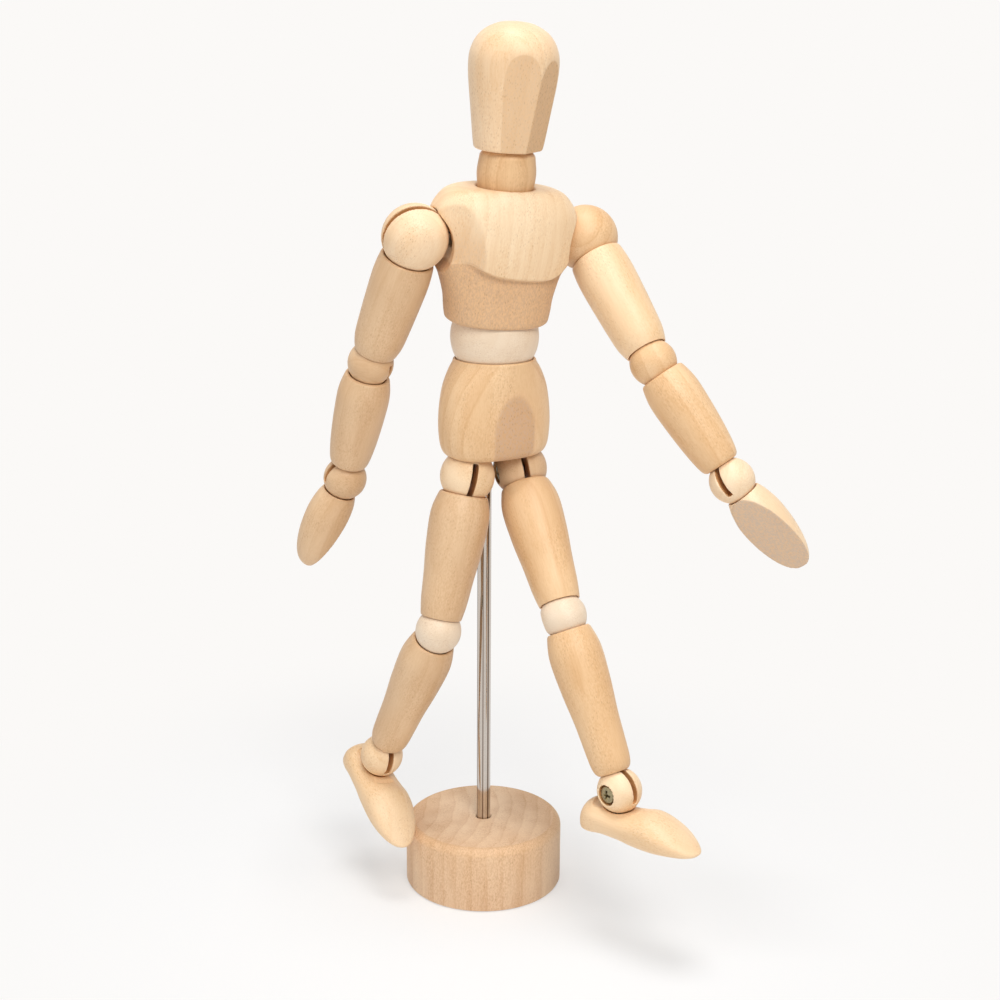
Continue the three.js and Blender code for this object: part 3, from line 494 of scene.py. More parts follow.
def metal(name, colour, rough, marks, scale=(1, 1, 1), reflection_streak=None, tarnish=0.72):
    """Worn plated metal: faint marks change its roughness and colour; painted reflection streaks run along a
    rod.
    """
    material, tree, body = blank_material(name)
    where = node(tree, "ShaderNodeTexCoord").outputs["Object"]
    brushed = stretched(tree, where, [1000 * v for v in scale])
    lines = node(tree, "ShaderNodeTexNoise", Vector=brushed, Detail=4)
    spots = node(tree, "ShaderNodeTexNoise", Vector=stretched(tree, where, (420, 420, 420)), Detail=3)
    mask = between(tree, spots.outputs[0], 0.42, 0.7)
    roughness = maths(tree, "ADD", rough, maths(tree, "MULTIPLY", lines.outputs[0], marks))
    roughness = maths(tree, "ADD", roughness, maths(tree, "MULTIPLY", mask, marks))
    dull = tuple(v * tarnish for v in linear(*colour)[:3]) + (1,)
    plate = blended(tree, mask, linear(*colour), dull)
    if reflection_streak:
        # Painted reflection: dark upright bands, as of the room, mixed into the plate colour.
        upright = node(tree, "ShaderNodeTexNoise", Vector=stretched(tree, where, (420, 420, 0.4)), Scale=1)
        plate = blended(tree, between(tree, upright.outputs[0], 0.5, 0.58), plate, linear(*reflection_streak))
    bump = node(tree, "ShaderNodeBump", Strength=0.08, Distance=0.00003, Height=lines.outputs[0])
    plug(tree, body, {"Metallic": 1, "Roughness": roughness, "Base Color": plate, "Normal": bump.outputs[0]})
    return material


# The brown streak colour is a painted reflection of the room and the base in the rod.
bright_plate = metal("bright plate", (204, 195, 186), 0.1, 0.03, (0.6, 0.6, 0.05), (100, 78, 62), 0.94)
finished(
    "bright_rod", spun(rod_profile, 48), Matrix.Identity(4), "stand", ["stand_rod"], [bright_plate],
)

# Pelvis: a block turned and sanded from round at the waist to a rounded square below. A round cup
# in its top takes the waist ball and two cups underneath take the hip balls.
hips = (joint_centre("right_hip_swivel") + joint_centre("left_hip_swivel")) / 2
HIP_SPACING, HIP_BALL, WAIST_BALL, CUP_GAP = 10.3, 9.2, 14.7, 0.35
PELVIS_WIDE, PELVIS_DEEP, PELVIS_RIM, PELVIS_LOW, PELVIS_TALL = 19.4, 13.4, 13.75, 6.3, 32.9
WAIST_RISE = (joint_centre("waist_bend") - hips).length * 1000
PATCH_X, PATCH_Z = 0.5, 14
BORE, WAIST_BORE_FLOOR, HIP_BORE_TOP, ROD_POCKET = 2.85, 21.5, 18.6, 20.1


def squared(wide, front, back, height, square):
    """Rounded-square ring: its half width, reach to the front and back, and squareness."""

    def shape(angle):
        across, along = rounded(cos(angle), 2 / square), rounded(sin(angle), 2 / square)
        return (wide * across, (front if along < 0 else back) * along, height)

    return shape


pelvis_rings = [
    (-0.004, 0.62, 0.56, 2.4), (0, 0.77, 0.72, 2.5), (0.007, 0.815, 0.78, 2.5), (0.022, 0.858, 0.838, 2.5),
    (0.06, 0.915, 0.915, 2.5), (0.14, 0.965, 0.97, 2.45), (0.28, 0.995, 0.995, 2.4), (0.42, 1, 1, 2.35),
    (0.58, 0.975, 1, 2.3),
]
pelvis_rings = [
    (rise, PELVIS_WIDE * wide, PELVIS_DEEP * deep, square) for rise, wide, deep, square in pelvis_rings
]
pelvis_rings += [
    (0.74, PELVIS_WIDE * 0.55 + PELVIS_RIM * 0.52, PELVIS_DEEP * 0.3 + PELVIS_RIM * 0.7, 2.2),
    (0.88, PELVIS_WIDE * 0.25 + PELVIS_RIM * 0.8, PELVIS_RIM * 1.005, 2.08),
    (0.965, PELVIS_RIM * 1.02, PELVIS_RIM * 1.008, 2),
]
rings = [
    squared(wide, deep, deep, PELVIS_LOW + PELVIS_TALL * rise, square)
    for (rise, wide), (_, deep), (_, square) in zip(*smooth_columns(pelvis_rings, 5))
]
pelvis_top = PELVIS_LOW + PELVIS_TALL
waist_cup = WAIST_BALL + CUP_GAP
cup_mouth = sqrt(waist_cup**2 - (WAIST_RISE - pelvis_top) ** 2)
rim = [(PELVIS_RIM + 0.12, pelvis_top - 0.7), (PELVIS_RIM, pelvis_top - 0.3)]
rim += [(PELVIS_RIM - 0.28, pelvis_top), (cup_mouth + 0.12, pelvis_top - 0.02)]
rim += arc(waist_cup, WAIST_RISE, 180 - off_axis(cup_mouth, waist_cup), 180 - off_axis(BORE, waist_cup), 20)
rim += [(BORE, WAIST_BORE_FLOOR)]
rings += [squared(radius, radius, radius, height, 2) for radius, height in rim]
pelvis = ring_loft(rings, 112)
cutters = [peg_blank(ROD_HOLE + 0.1, 0, ROD_POCKET, Matrix.Translation((0, -hips.y * 1000, 0)))]
for side in (-1, 1):
    cutters.append(ball_blank(HIP_BALL + CUP_GAP, (side * HIP_SPACING, 0, 0)))
    cutters.append(peg_blank(BORE, 0, HIP_BORE_TOP, Matrix.Translation((side * HIP_SPACING, 0, 0))))


def in_pelvis(point):
    hip = Vector((copysign(HIP_SPACING, point.x), 0, 0))
    deep_waist = (point - Vector((0, 0, WAIST_RISE))).length < waist_cup + 0.1 and point.z < pelvis_top - 0.6
    middle = WAIST_BORE_FLOOR - 1.5 < point.z < pelvis_top - 1
    bored = middle and Vector((point.x, point.y)).length < BORE + 0.1
    return deep_waist or bored or (point - hip).length < HIP_BALL + CUP_GAP + 0.1


def pelvis_patch(point):
    """Oval at the front where the sander went through the lacquer."""
    if point.y > 0:
        return 0
    return 1 - eased(Vector(((point.x - PATCH_X) / 8, (point.z - PATCH_Z) / 14.5)).length, 0.9, 1.06)


finished(
    "pelvis_block", carved(pelvis, cutters), Matrix.Translation(hips), "pelvis", ["pelvis"],
    [honey_beech, cut_shaded_beech], inside=in_pelvis, bare=pelvis_patch,
    grain_turn=turn_about("X", -9, 3), pith=Vector((4, -52, 0)), smooth=0,
)

# Waist ball: a plain turned ball of paler wood, bored right through for the long spring. No screw
# crosses it: the spring alone pulls pelvis and chest onto it.
waist = joint_centre("waist_bend")
waist_up = joint_axis("waist_bend").cross(joint_axis("waist_sway"))
waist_profile = arc(WAIST_BALL, 0, 180 - 18, 18, 48)
waist_profile += [(BORE + 0.5, WAIST_BALL * 0.25), (BORE + 0.5, -WAIST_BALL * 0.25)]
finished(
    "waist_ball_turned", spun(waist_profile, 96, close=True), seat(waist, waist_up, joint_axis("waist_bend")),
    "waist_ball", ["waist_ball"], [pale_beech, cut_shaded_beech],
    inside=lambda point: point.length < WAIST_BALL - 0.4, grain_turn=turn_about("X", 80, 3),
)

# Chest: a shaped block with a raised upper part that ends in a curved ledge. Its ends are scooped
# for the shoulder balls, its top and bottom are cupped, and bores cross it for the springs.
CHEST_WIDE, CHEST_DEEP, CHEST_LOW, CHEST_TALL = 24.8, 14.6, 5.3, 43.7
SHOULDER_RISE, SHOULDER_SPACING, SHOULDER_BALL = 32.6, 29.4, 10.8
NECK_RISE, NECK_END = 53.5, 10.5
shoulders = joint_centre("left_shoulder_swivel") - joint_centre("right_shoulder_swivel")
chest_seat = seat(waist, joint_axis("waist_turn"), shoulders)
ledge_line = [
    (-24.8, 24.5), (-20, 25.6), (-17.5, 26.2), (-14.4, 26.2), (-11.8, 25.2), (-9.2, 23.9), (-5, 22.3),
    (-1, 21.6), (5.7, 21.1), (11.3, 21), (14.5, 22), (17.5, 24), (20, 26.8), (22, 29.5), (24.8, 31),
]
lower_rings = [
    (0, 0.645, 0.985, 0.985, 2.15), (0.008, 0.668, 1.005, 1.005, 2.15), (0.025, 0.69, 1.018, 1.018, 2.2),
    (0.1, 0.713, 0.985, 0.99, 2.3), (0.2, 0.735, 0.93, 0.955, 2.4), (0.34, 0.81, 0.85, 0.94, 2.5),
    (0.41, 0.87, 0.82, 0.94, 2.5), (0.5, 0.92, 0.79, 0.93, 2.5), (1, 0.95, 0.78, 0.9, 2.5),
]
upper_rings = [
    (0, 0.88, 0.93, 0.94, 2.5), (0.3, 0.92, 0.955, 0.945, 2.5), (0.41, 0.955, 0.985, 0.96, 2.5),
    (0.55, 0.99, 1.01, 0.98, 2.6), (0.74, 1, 0.99, 1, 2.6), (0.84, 0.96, 0.95, 1, 2.6),
    (0.91, 0.885, 0.89, 1, 2.6), (0.965, 0.79, 0.81, 0.96, 2.5), (0.995, 0.66, 0.72, 0.87, 2.4),
    (1.002, 0.5, 0.6, 0.72, 2.3),
]


def sampled(line, at):
    """Height of a line of (place, value) pairs at one place."""
    for (a, low), (b, high) in zip(line, line[1:]):
        if at <= b:
            return low + (high - low) * max(at - a, 0) / max(b - a, 1e-9)
    return line[-1][1]


lower_lines, upper_lines = smooth_columns(lower_rings, 8), smooth_columns(upper_rings, 8)
smooth_ledge = through(ledge_line, 6)
FACET_FACING, FACET_REACH = Vector((-0.63, -0.78, -0.06)), 16


def chest_level(lines, rise):
    wide, front, back, square = [sampled(line, rise) for line in lines]
    height = CHEST_LOW + CHEST_TALL * rise
    return squared(wide * CHEST_WIDE, front * CHEST_DEEP, back * CHEST_DEEP, height, square)


def chest_ring(rise):
    """One level of the chest: the lower body, the raised upper part, and the ledge between them."""
    height = CHEST_LOW + CHEST_TALL * rise
    low, high = chest_level(lower_lines, rise), chest_level(upper_lines, rise)

    def shape(angle):
        inner, outer = Vector(low(angle)), Vector(high(angle))
        flat = Vector((FACET_FACING.x, FACET_FACING.y, 0))
        over = outer.dot(FACET_FACING) - FACET_REACH
        if over > 0 and flat.dot(outer) > 0:
            outer = outer - Vector((outer.x, outer.y, 0)) * (over / flat.dot(outer))
        ledge = sampled(smooth_ledge, inner.x)
        if sin(angle) > 0:
            behind = 24.5 + 5 * eased(inner.x, 0, 21)
            ledge = ledge + (behind - ledge) * eased(sin(angle), 0, 0.4)
        return inner.lerp(outer, eased(height, ledge - 0.4, ledge + 0.4))

    return shape


levels = [i / 250 for i in range(0, 12, 2)] + [0.05 + 0.01 * i for i in range(24)]
levels += [0.29 + 0.0065 * i for i in range(40)] + [0.55 + 0.015 * i for i in range(24)]
levels += [0.91 + 0.01 * i for i in range(8)] + [0.985, 0.993, 0.998, 1, 1.002]
chest = ring_loft([chest_ring(rise) for rise in levels], 144)
along_x = turn_about("Y", 90)
cutters = [
    ball_blank(waist_cup, wide=96, tall=60),
    ball_blank(NECK_END + 0.3, (0, 0, NECK_RISE), 80, 48),
    peg_blank(BORE, 5, waist_cup + 9.4),
    peg_blank(BORE, NECK_RISE - NECK_END - 4.9, NECK_RISE),
    peg_blank(BORE, -26, 26, Matrix.Translation((0, 0, SHOULDER_RISE)) @ along_x),
]
for side in (-1, 1):
    socket = Vector((side * SHOULDER_SPACING, 0, SHOULDER_RISE))
    for wider, aside, ahead, down in ((1, 0, 0, 0), (1.07, 0, 0, 2.2), (1.2, 2.3, 4.4, 2.6)):
        scoop = socket + Vector((side * aside, -ahead, -down))
        cutters.append(ball_blank((SHOULDER_BALL + CUP_GAP) * wider, scoop, 80, 48))


def chest_shade_and_flat(point):
    """Darkening: 1 below the ledge, painted shade on the downward-facing lower chest; a half on the sanded
    flat beside the right arm; 0 on the breast.
    """
    ledge = sampled(smooth_ledge, point.x) - 0.2
    low = 1 - eased(point.z, ledge - 0.4, ledge + 0.4)
    flat = 1 - eased(abs(point.dot(FACET_FACING) - FACET_REACH), 0.1, 0.6)
    return max(low, flat * 0.5 * (1 - eased(point.z, 30, 44)))


def in_chest(point):
    if (point - Vector((0, 0, NECK_RISE))).length < NECK_END + 0.4 and point.z < 47.5:
        return True
    if point.length < waist_cup + 0.1:
        return True
    socket = Vector((copysign(SHOULDER_SPACING, point.x), 0, SHOULDER_RISE))
    return abs(point.x) < 20.2 and (point - socket).length < SHOULDER_BALL + 1.2


finished(
    "chest_block", sanded(carved(chest, cutters), 0.34, 3), chest_seat, "chest", ["chest"],
    [tan_beech, cut_shaded_beech], inside=in_chest, bare=chest_shade_and_flat,
    grain_turn=turn_about("Y", -5, 3), smooth=0,
)

# Neck: a short turned barrel with a round at each end that sits in cups in the chest and head.
NECK_BARREL, NECK_HALF = 9.55, 8.8
neck = joint_centre("neck_bend")
neck_up = joint_axis("neck_bend").cross(joint_axis("neck_sway"))
end_angle = degrees(acos(NECK_HALF / NECK_END))
side_angle = off_axis(NECK_BARREL * 0.935, NECK_END)
shoulder_height = NECK_END * cos(radians(side_angle))
neck_profile = [(BORE + 0.6, -NECK_HALF)] + arc(NECK_END, 0, 180 - end_angle, 180 - side_angle, 8)
neck_side = [(NECK_BARREL * part, shoulder_height * rise) for part, rise in ((0.935, -1), (1, 0), (0.935, 1))]
neck_profile += through(neck_side, 8)[1:-1]
neck_profile += arc(NECK_END, 0, side_angle, end_angle, 8) + [(BORE + 0.6, NECK_HALF)]
amber_beech = wood("amber beech", (236, 196, 148), (206, 154, 102), (214, 160, 104), flecks=0.4, rings=0.25)
finished(
    "neck_barrel", spun(neck_profile, 72, close=True), seat(neck, neck_up, joint_axis("neck_bend")),
    "neck_ball", ["neck_ball"], [amber_beech],
)

# Head: a turned egg, cupped and bored underneath, with a soft flat sanded across the face and a
# crisp one on the left cheek. It has no features.
HEAD_LOW, HEAD_TALL, HEAD_RADIUS, HEAD_TURN = 7.4, 39.4, 14.3, -13
head_line = [
    (0.735, 0), (0.79, 0.035), (0.89, 0.3), (0.985, 0.56), (1, 0.7), (0.955, 0.79), (0.845, 0.87),
    (0.66, 0.935), (0.36, 0.985), (0, 1),
]
head_line = [(HEAD_RADIUS * part, HEAD_LOW + HEAD_TALL * rise) for part, rise in head_line]
head_outline = through([(rise, radius) for radius, rise in head_line], 8)
head_flats = [(6, 0.88, 7.2, 1.1), (53, 0.9, 9.5, 9)]


def flat_reach(flat, angle, height):
    """Distance from the axis to a sanded flat in one direction; flats are turned, set in and leaning."""
    turn, depth, lean, _ = flat
    facing = cos(angle - radians(turn - 90))
    reach = HEAD_RADIUS * depth - (height - HEAD_LOW - HEAD_TALL * 0.55) * tan(radians(-lean))
    return reach / facing if facing > 0.2 else 99


def head_ring(height):
    """One level of the head: round, with the flats running softly or sharply out of the round."""

    def shape(angle):
        reach = sampled(head_outline, height)
        for flat in head_flats:
            crisp = flat[3] + (9 - flat[3]) * eased(angle_apart(angle, flat[0]), -0.35, 0.1)
            low, high = sorted((reach, flat_reach(flat, angle, height)))
            reach = low - log(1 + exp(-crisp * (high - low))) / crisp if low > 0.5 else low
        return (reach * cos(angle), reach * sin(angle), height)

    return shape


def angle_apart(angle, turn):
    """Signed angle from a flat's facing, positive towards the left side of the figure."""
    return (angle - radians(turn - 90) + pi) % (2 * pi) - pi


def on_a_flat(point):
    """0.6 on the sanded face, 1 on the cheek, 0 on the round of the head."""
    angle = atan2(point.y, point.x)
    out = sampled(head_outline, point.z)
    face, cheek = [out - flat_reach(flat, angle, point.z) for flat in head_flats]
    return max(eased(face, 0.02, 0.2) * 0.6, eased(cheek, 0.02, 0.2) * (cheek > face))


heights = sorted({height for _, height in through(head_line, 8)[:-1]})
head = ring_loft([head_ring(height) for height in heights], 180)
cutters = [ball_blank(NECK_END + 0.3, wide=80, tall=48), peg_blank(BORE, 5, NECK_END + 10)]
head_seat = seat(neck, joint_axis("head_turn"), joint_axis("neck_bend"), HEAD_TURN)
finished(
    "head_egg", sanded(carved(head, cutters), 0.3, 4), head_seat, "head", ["head"],
    [head_beech, cut_shaded_beech], inside=lambda point: point.length < NECK_END + 0.5,
    bare=on_a_flat, smooth=0,
)

# Pivot screws: plated pan heads with a cross recess, each driven through a limb ball so that its
# slot can hold the spring's eye. The head lies sunk in a counterbore.
SLOT_WIDE, HEAD_WIDE, HEAD_SINK, HEAD_THICK, AXIAL_HOLE = 2, 6.2, 1.25, 2, 2.7
dull_nickel = metal("dull nickel", (168, 156, 124), 0.28, 0.22)


def pivot_screw(joint, ball_radius, head_side, place):
    """Screw along X: head towards +X or -X, point in the wood on the other side."""
    face, shank, half = ball_radius - HEAD_SINK, 0.9, HEAD_WIDE / 2
    low = face - HEAD_THICK
    profile = [(0, 2.6 - ball_radius), (shank * 0.4, 3 - ball_radius), (shank, 4.2 - ball_radius)]
    profile += [(shank, low), (half - 0.15, low), (half, low + 0.15), (half, low + HEAD_THICK * 0.42)]
    profile += [(half * 0.965, low + HEAD_THICK * 0.62), (half * 0.86, low + HEAD_THICK * 0.83)]
    profile += [(half * 0.66, low + HEAD_THICK * 0.95), (half * 0.4, face), (0, face)]
    wings = []
    for turn in (0, 90):
        bm = bmesh.new()
        bmesh.ops.create_cube(bm, size=1, matrix=Matrix.Diagonal((half * 1.25, half * 0.3, 1.6, 1)))
        low_verts = [v for v in bm.verts if v.co.z < 0]
        bmesh.ops.scale(bm, vec=(0.3, 0.55, 1), verts=low_verts)
        matrix = Matrix.Translation((0, 0, face - 0.5)) @ turn_about("Z", turn)
        bmesh.ops.transform(bm, matrix=matrix, verts=bm.verts)
        wings.append(from_bmesh(bm))
    mesh = carved(spun(profile, 40), wings)
    mesh.transform(turn_about("Y", 90 * head_side))
    finished(
        f"{joint}_pivot", mesh, place, f"{joint}_ball", [f"{joint}_screw"], [dull_nickel],
        smooth=30,
    )


# Limb balls: each has a saw slot for the eye that swings, a hole along its axis for the eye that
# doesn't, and a cross hole with a counterbore for its screw. The edges are lightly sanded.


def limb_ball(joint, radius, slot_side, floor, both_ways, head_side, place, timber):
    """Ball with its screw. slot_side is -1 where the slot opens away from the trunk and 1 where it
    opens towards it, and floor is how far the slot goes past the middle."""
    reach = radius + 1
    back = -reach if both_ways else -(1.75 + 0.8)
    low, high = (-reach, floor) if slot_side < 0 else (-floor, reach)
    along_screw = turn_about("Y", 90 * head_side)
    seat_depth = radius - HEAD_SINK - HEAD_THICK - 0.3
    cutters = [
        block_blank((-SLOT_WIDE / 2, back, low), (SLOT_WIDE / 2, reach, high)),
        peg_blank(AXIAL_HOLE, *((-AXIAL_HOLE, reach) if slot_side < 0 else (-reach, AXIAL_HOLE))),
        peg_blank(1.2, -(radius - 2.2), reach, along_screw),
        peg_blank(HEAD_WIDE / 2 + 0.4, seat_depth, reach, along_screw),
    ]
    blank = ball_blank(radius, wide=80, tall=48)
    blank.transform(Matrix.Rotation(radians(5), 4, Vector((1, 2, 3))))
    mesh = sanded(carved(blank, cutters), 0.27, 2)
    for vert in mesh.vertices:
        if radius - 0.09 < vert.co.length < radius + 0.1:
            vert.co *= radius / vert.co.length
    finished(
        f"{joint}_turned", mesh, place, f"{joint}_ball", [f"{joint}_ball"], [timber, cut_shaded_beech],
        smooth=0,
        inside=lambda point: point.length < radius - 0.42,
        grain_turn=turn_about("X", 70, 3),
    )
    pivot_screw(joint, radius, head_side, place)


# Limbs: spindles turned fat near the body and thin at the far end, cupped at both ends and bored
# through for their spring. Their rims are rounded over.
LIMB_BORE, LIP = 3.1, 0.45


def limb_spindle(limb, length, radius, near, far, near_cup, far_cup, shape, place, timber):
    """near and far are the radii of the balls; shape lists (share of length, share of radius)."""
    near, far = near + CUP_GAP, far + CUP_GAP
    near_rim, far_rim = -sqrt(near**2 - near_cup**2), -length + sqrt(far**2 - far_cup**2)
    span = near_rim - far_rim
    side = [(near_cup + LIP, near_rim)] + [(radius * part, near_rim - span * share) for share, part in shape]
    side += [(far_cup + LIP, far_rim)]
    profile = arc(near, 0, 180 - off_axis(LIMB_BORE, near), 180 - off_axis(near_cup, near), 14)
    profile += [(near_cup + LIP * 0.45, near_rim - 0.02)] + through(side, 7)
    profile += [(far_cup + LIP * 0.45, far_rim + 0.02)]
    profile += arc(far, -length, off_axis(far_cup, far), off_axis(LIMB_BORE, far), 14)

    def inside(point):
        if Vector((point.x, point.y)).length < LIMB_BORE + 0.1:
            return True
        return point.length < near + 0.05 or (point + Vector((0, 0, length))).length < far + 0.05

    finished(
        f"{limb}_spindle", spun(profile, 72, close=True), place, limb, [limb], [timber, cut_shaded_beech],
        inside=inside, smooth=55,
    )


# Springs and hooks: drawn wire. A limb's spring has an eye on the screw at each end; a hook has an
# eye on the wrist or ankle screw and a coil screwed into the hand or foot.
WIRE, HOOK, EYE_STEP, PITCH = 0.8, 1.75, 0.6, 0.9
drawn_wire = metal("drawn wire", (150, 152, 156), 0.32, 0.2)


def wire_piece(name, points, place, body, cad_node):
    """Round wire along the points, in the given place."""
    line = through([tuple(p) for p in points], 3)
    curve = bpy.data.curves.new(name, "CURVE")
    curve.dimensions = "3D"
    curve.bevel_depth = WIRE / 2
    curve.bevel_resolution = 1
    curve.use_fill_caps = True
    spline = curve.splines.new("POLY")
    spline.points.add(len(line) - 1)
    spline.points.foreach_set("co", [v for point in line for v in (*point, 1)])
    piece = new_piece("blank", curve)
    graph = bpy.context.evaluated_depsgraph_get()
    mesh = bpy.data.meshes.new_from_object(piece.evaluated_get(graph))
    bpy.data.objects.remove(piece)
    finished(name, mesh, place, body, [cad_node], [drawn_wire], smooth=50)


def eye(step):
    """Open eye round a screw along X, ending beside it at +Y and heading down."""
    turns = [radians(270 - 45 * i) for i in range(7)]
    return [Vector((step, HOOK * cos(a), HOOK * sin(a))) for a in turns] + [Vector((0, HOOK, -HOOK * 1.4))]


def trunk_eye(step=-EYE_STEP):
    return [Vector((p.x, p.y, -p.z)) for p in eye(step)]


def coil(start_height, length, start_angle, turn=0):
    """Close coil going down; its end stands turn radians on from its start."""
    rounds = round(length / PITCH) + turn / (2 * pi)
    steps = ceil(rounds * 12)
    angles = [start_angle + 2 * pi * rounds * i / steps for i in range(steps + 1)]
    drop = length / steps
    return [Vector((HOOK * cos(a), HOOK * sin(a), start_height - drop * i)) for i, a in enumerate(angles)]


def limb_spring(limb, length, place, far_across, far_step, body):
    """Spring inside a limb; far_across is the direction of the far screw."""
    local = place.to_3x3().inverted() @ far_across
    turn = atan2(local.y, local.x)
    size = (4 + turn / (2 * pi)) * 1.3
    far = [Matrix.Rotation(turn, 3, "Z") @ Vector((p.x, p.y, -p.z - length)) for p in reversed(eye(far_step))]
    points = eye(EYE_STEP) + coil(-(length - size) / 2, size, pi / 2, turn) + far
    wire_piece(f"{limb}_wire", points, place, body, f"{limb}_spring")


# Hands: turned drops of beech with a flat sanded aslant for the palm, and a cup and a hole in the
# thick end for the wrist ball and its hook.
HAND_LONG, HAND_RADIUS, HAND_RIM, PALM_DEPTH, PALM_SLANT = 37, 8, 5.4, 3, 12.5


def hand(name, ball_radius, place, timber):
    cup = ball_radius + CUP_GAP
    start = -sqrt(cup**2 - HAND_RIM**2)
    span = HAND_LONG + start
    line = [(HAND_RIM + LIP, start), (HAND_RADIUS * 0.82, start - span * 0.06)]
    shares = [(0.12, 0.89), (0.3, 1), (0.55, 0.98), (0.76, 0.84), (0.9, 0.62), (0.975, 0.34)]
    line += [(HAND_RADIUS * part, start - span * share) for share, part in shares] + [(0, -HAND_LONG)]
    profile = [(0, -cup - 10.5), (LIMB_BORE - 0.4, -cup - 10.5)]
    profile += arc(cup, 0, 180 - off_axis(LIMB_BORE - 0.4, cup), 180 - off_axis(HAND_RIM, cup), 12)
    profile += [(max(radius, 0), height) for radius, height in through(line, 8)]
    lean = Matrix.Translation((0, -PALM_DEPTH, -HAND_LONG / 2)) @ turn_about("X", PALM_SLANT)
    palm = block_blank((-30, -60, -60), (30, 0, 60), lean)
    mesh = sanded(carved(spun(profile, 80), [palm]), 0.25, 3)
    finished(
        f"{name}_drop", mesh, place, name, [name], [timber, cut_shaded_beech],
        inside=lambda point: point.length < cup + 0.12,
        bare=lambda point: 1 - eased(abs((lean.inverted() @ point).y), 0.1, 0.3), smooth=0,
    )


# Feet: carved, with a flat sole that arches under the instep, a blunt heel, and a scallop with a
# cup in it for the ankle ball.
HEEL, TOE, FOOT_WIDE, SOLE = 13, 30.8, 8.5, 15.6
foot_stations = [
    (-1, 0.2, 0.7, 0.9), (-0.95, 0.55, 0.5, 1), (-0.84, 0.76, 0.37, 1.03), (-0.6, 0.88, 0.3, 1.02),
    (-0.3, 0.9, 0.33, 0.98), (0.07, 0.92, 0.38, 0.98), (0.26, 0.97, 0.34, 1.02), (0.42, 1, 0.28, 1.04),
    (0.58, 0.99, 0.36, 1.03), (0.74, 0.88, 0.51, 1), (0.87, 0.66, 0.68, 0.98), (0.96, 0.38, 0.81, 0.95),
    (1, 0.12, 0.87, 0.91),
]


def foot(name, ball_radius, place):
    def station(share, width, top, bottom):
        middle, tall = -SOLE * (top + bottom) / 2, SOLE * (bottom - top) / 2

        def shape(angle):
            power = 2 / 3 if sin(angle) < 0 else 2 / 2.1
            across, rise = rounded(cos(angle), power), rounded(sin(angle), power)
            along = share * (HEEL if share < 0 else TOE)
            return (FOOT_WIDE * width * across, -along, middle + tall * rise)

        return shape

    rings = [
        station(share, wide, top, bottom)
        for (share, wide), (_, top), (_, bottom) in zip(*smooth_columns(foot_stations, 5))
    ]
    cup = ball_radius + CUP_GAP
    scallop = spun([(0, -5.9), (8.6, -5.9), (9.6, -4.4), (9.6, 4), (0, 4)], 64)
    cutters = [ball_blank(cup, wide=72, tall=44), scallop, peg_blank(LIMB_BORE - 0.4, -cup - 4.6, 0)]
    mesh = sanded(carved(ring_loft(rings, 64), cutters), 0.27, 4)
    finished(
        f"{name}_carved", mesh, place, name, [name], [cream_beech, cut_shaded_beech],
        inside=lambda point: point.length < cup + 0.12, smooth=0,
        grain_turn=turn_about("X", 90, 3),
    )


# Arms and legs: every piece hangs on the screw of the ball before it. The first ball of an arm turns
# in the chest, and that of a leg hangs under the pelvis.
ELBOW_BALL, WRIST_BALL, KNEE_BALL, ANKLE_BALL = 7.7, 7.45, 7.75, 7.45
UPPER_ARM, FOREARM, THIGH, SHANK = 9.45, 8.8, 10, 9
MIDDLE_RIM = 0.84
upper_arm_shape = [(0.03, 0.95), (0.2, 1), (0.44, 0.975), (0.68, 0.93), (0.86, 0.88), (0.96, 0.79)]
forearm_shape = [(0.03, 0.88), (0.2, 1), (0.45, 0.98), (0.7, 0.91), (0.88, 0.82), (0.97, 0.73)]
thigh_shape = [(0.03, 0.86), (0.18, 1), (0.44, 0.96), (0.66, 0.86), (0.86, 0.79), (0.96, 0.73)]
shank_shape = [(0.03, 0.86), (0.17, 1), (0.4, 0.95), (0.62, 0.84), (0.8, 0.79), (0.92, 0.75), (0.975, 0.68)]


def hang_limb(side, names, balls, radii, rims, shapes, timbers, head_sides, hook_long):
    """Every piece from a limb's first spindle to its hook, in hanging order. names are its three
    joints, two spindles and its end; rims are the first and last cup as shares of their balls.
    Returns the place of the last ball."""
    first, middle, last, upper_limb, lower_limb, end = [f"{side}_{name}" for name in names]
    near, halfway, far = [joint_centre(f"{joint}_hinge") for joint in (first, middle, last)]
    swing, bend, flap = [joint_axis(f"{joint}_hinge") for joint in (first, middle, last)]
    upper, lower, tip = [joint_axis(f"{piece}_twist") for piece in (middle, lower_limb, end)]
    upper_long, lower_long = (halfway - near).length * 1000, (far - halfway).length * 1000
    near_ball, middle_ball, far_ball = balls
    upper_seat = seat(near, upper, swing)
    limb_spindle(
        upper_limb, upper_long, radii[0], near_ball, middle_ball, near_ball * rims[0],
        middle_ball * MIDDLE_RIM, shapes[0], upper_seat, timbers[0],
    )
    limb_spring(upper_limb, upper_long, upper_seat, bend, -EYE_STEP, upper_limb)
    middle_seat = seat(halfway, upper, bend)
    limb_ball(middle, middle_ball, -1, AXIAL_HOLE, False, head_sides[0], middle_seat, timbers[1])
    limb_spring(lower_limb, lower_long, seat(halfway, lower, bend), flap, EYE_STEP, f"{lower_limb}_spring")
    limb_spindle(
        lower_limb, lower_long, radii[1], middle_ball, far_ball, middle_ball * MIDDLE_RIM,
        far_ball * rims[1], shapes[1], seat(halfway, lower, flap), timbers[2],
    )
    end_seat = seat(far, tip, flap)
    limb_ball(last, far_ball, 1, AXIAL_HOLE, True, head_sides[1], end_seat, timbers[3])
    hook = eye(-EYE_STEP) + coil(-(far_ball + CUP_GAP + 1), hook_long, pi / 2)
    wire_piece(f"{end}_wire", hook, end_seat, f"{last}_ball", f"{end}_hook")
    return end_seat
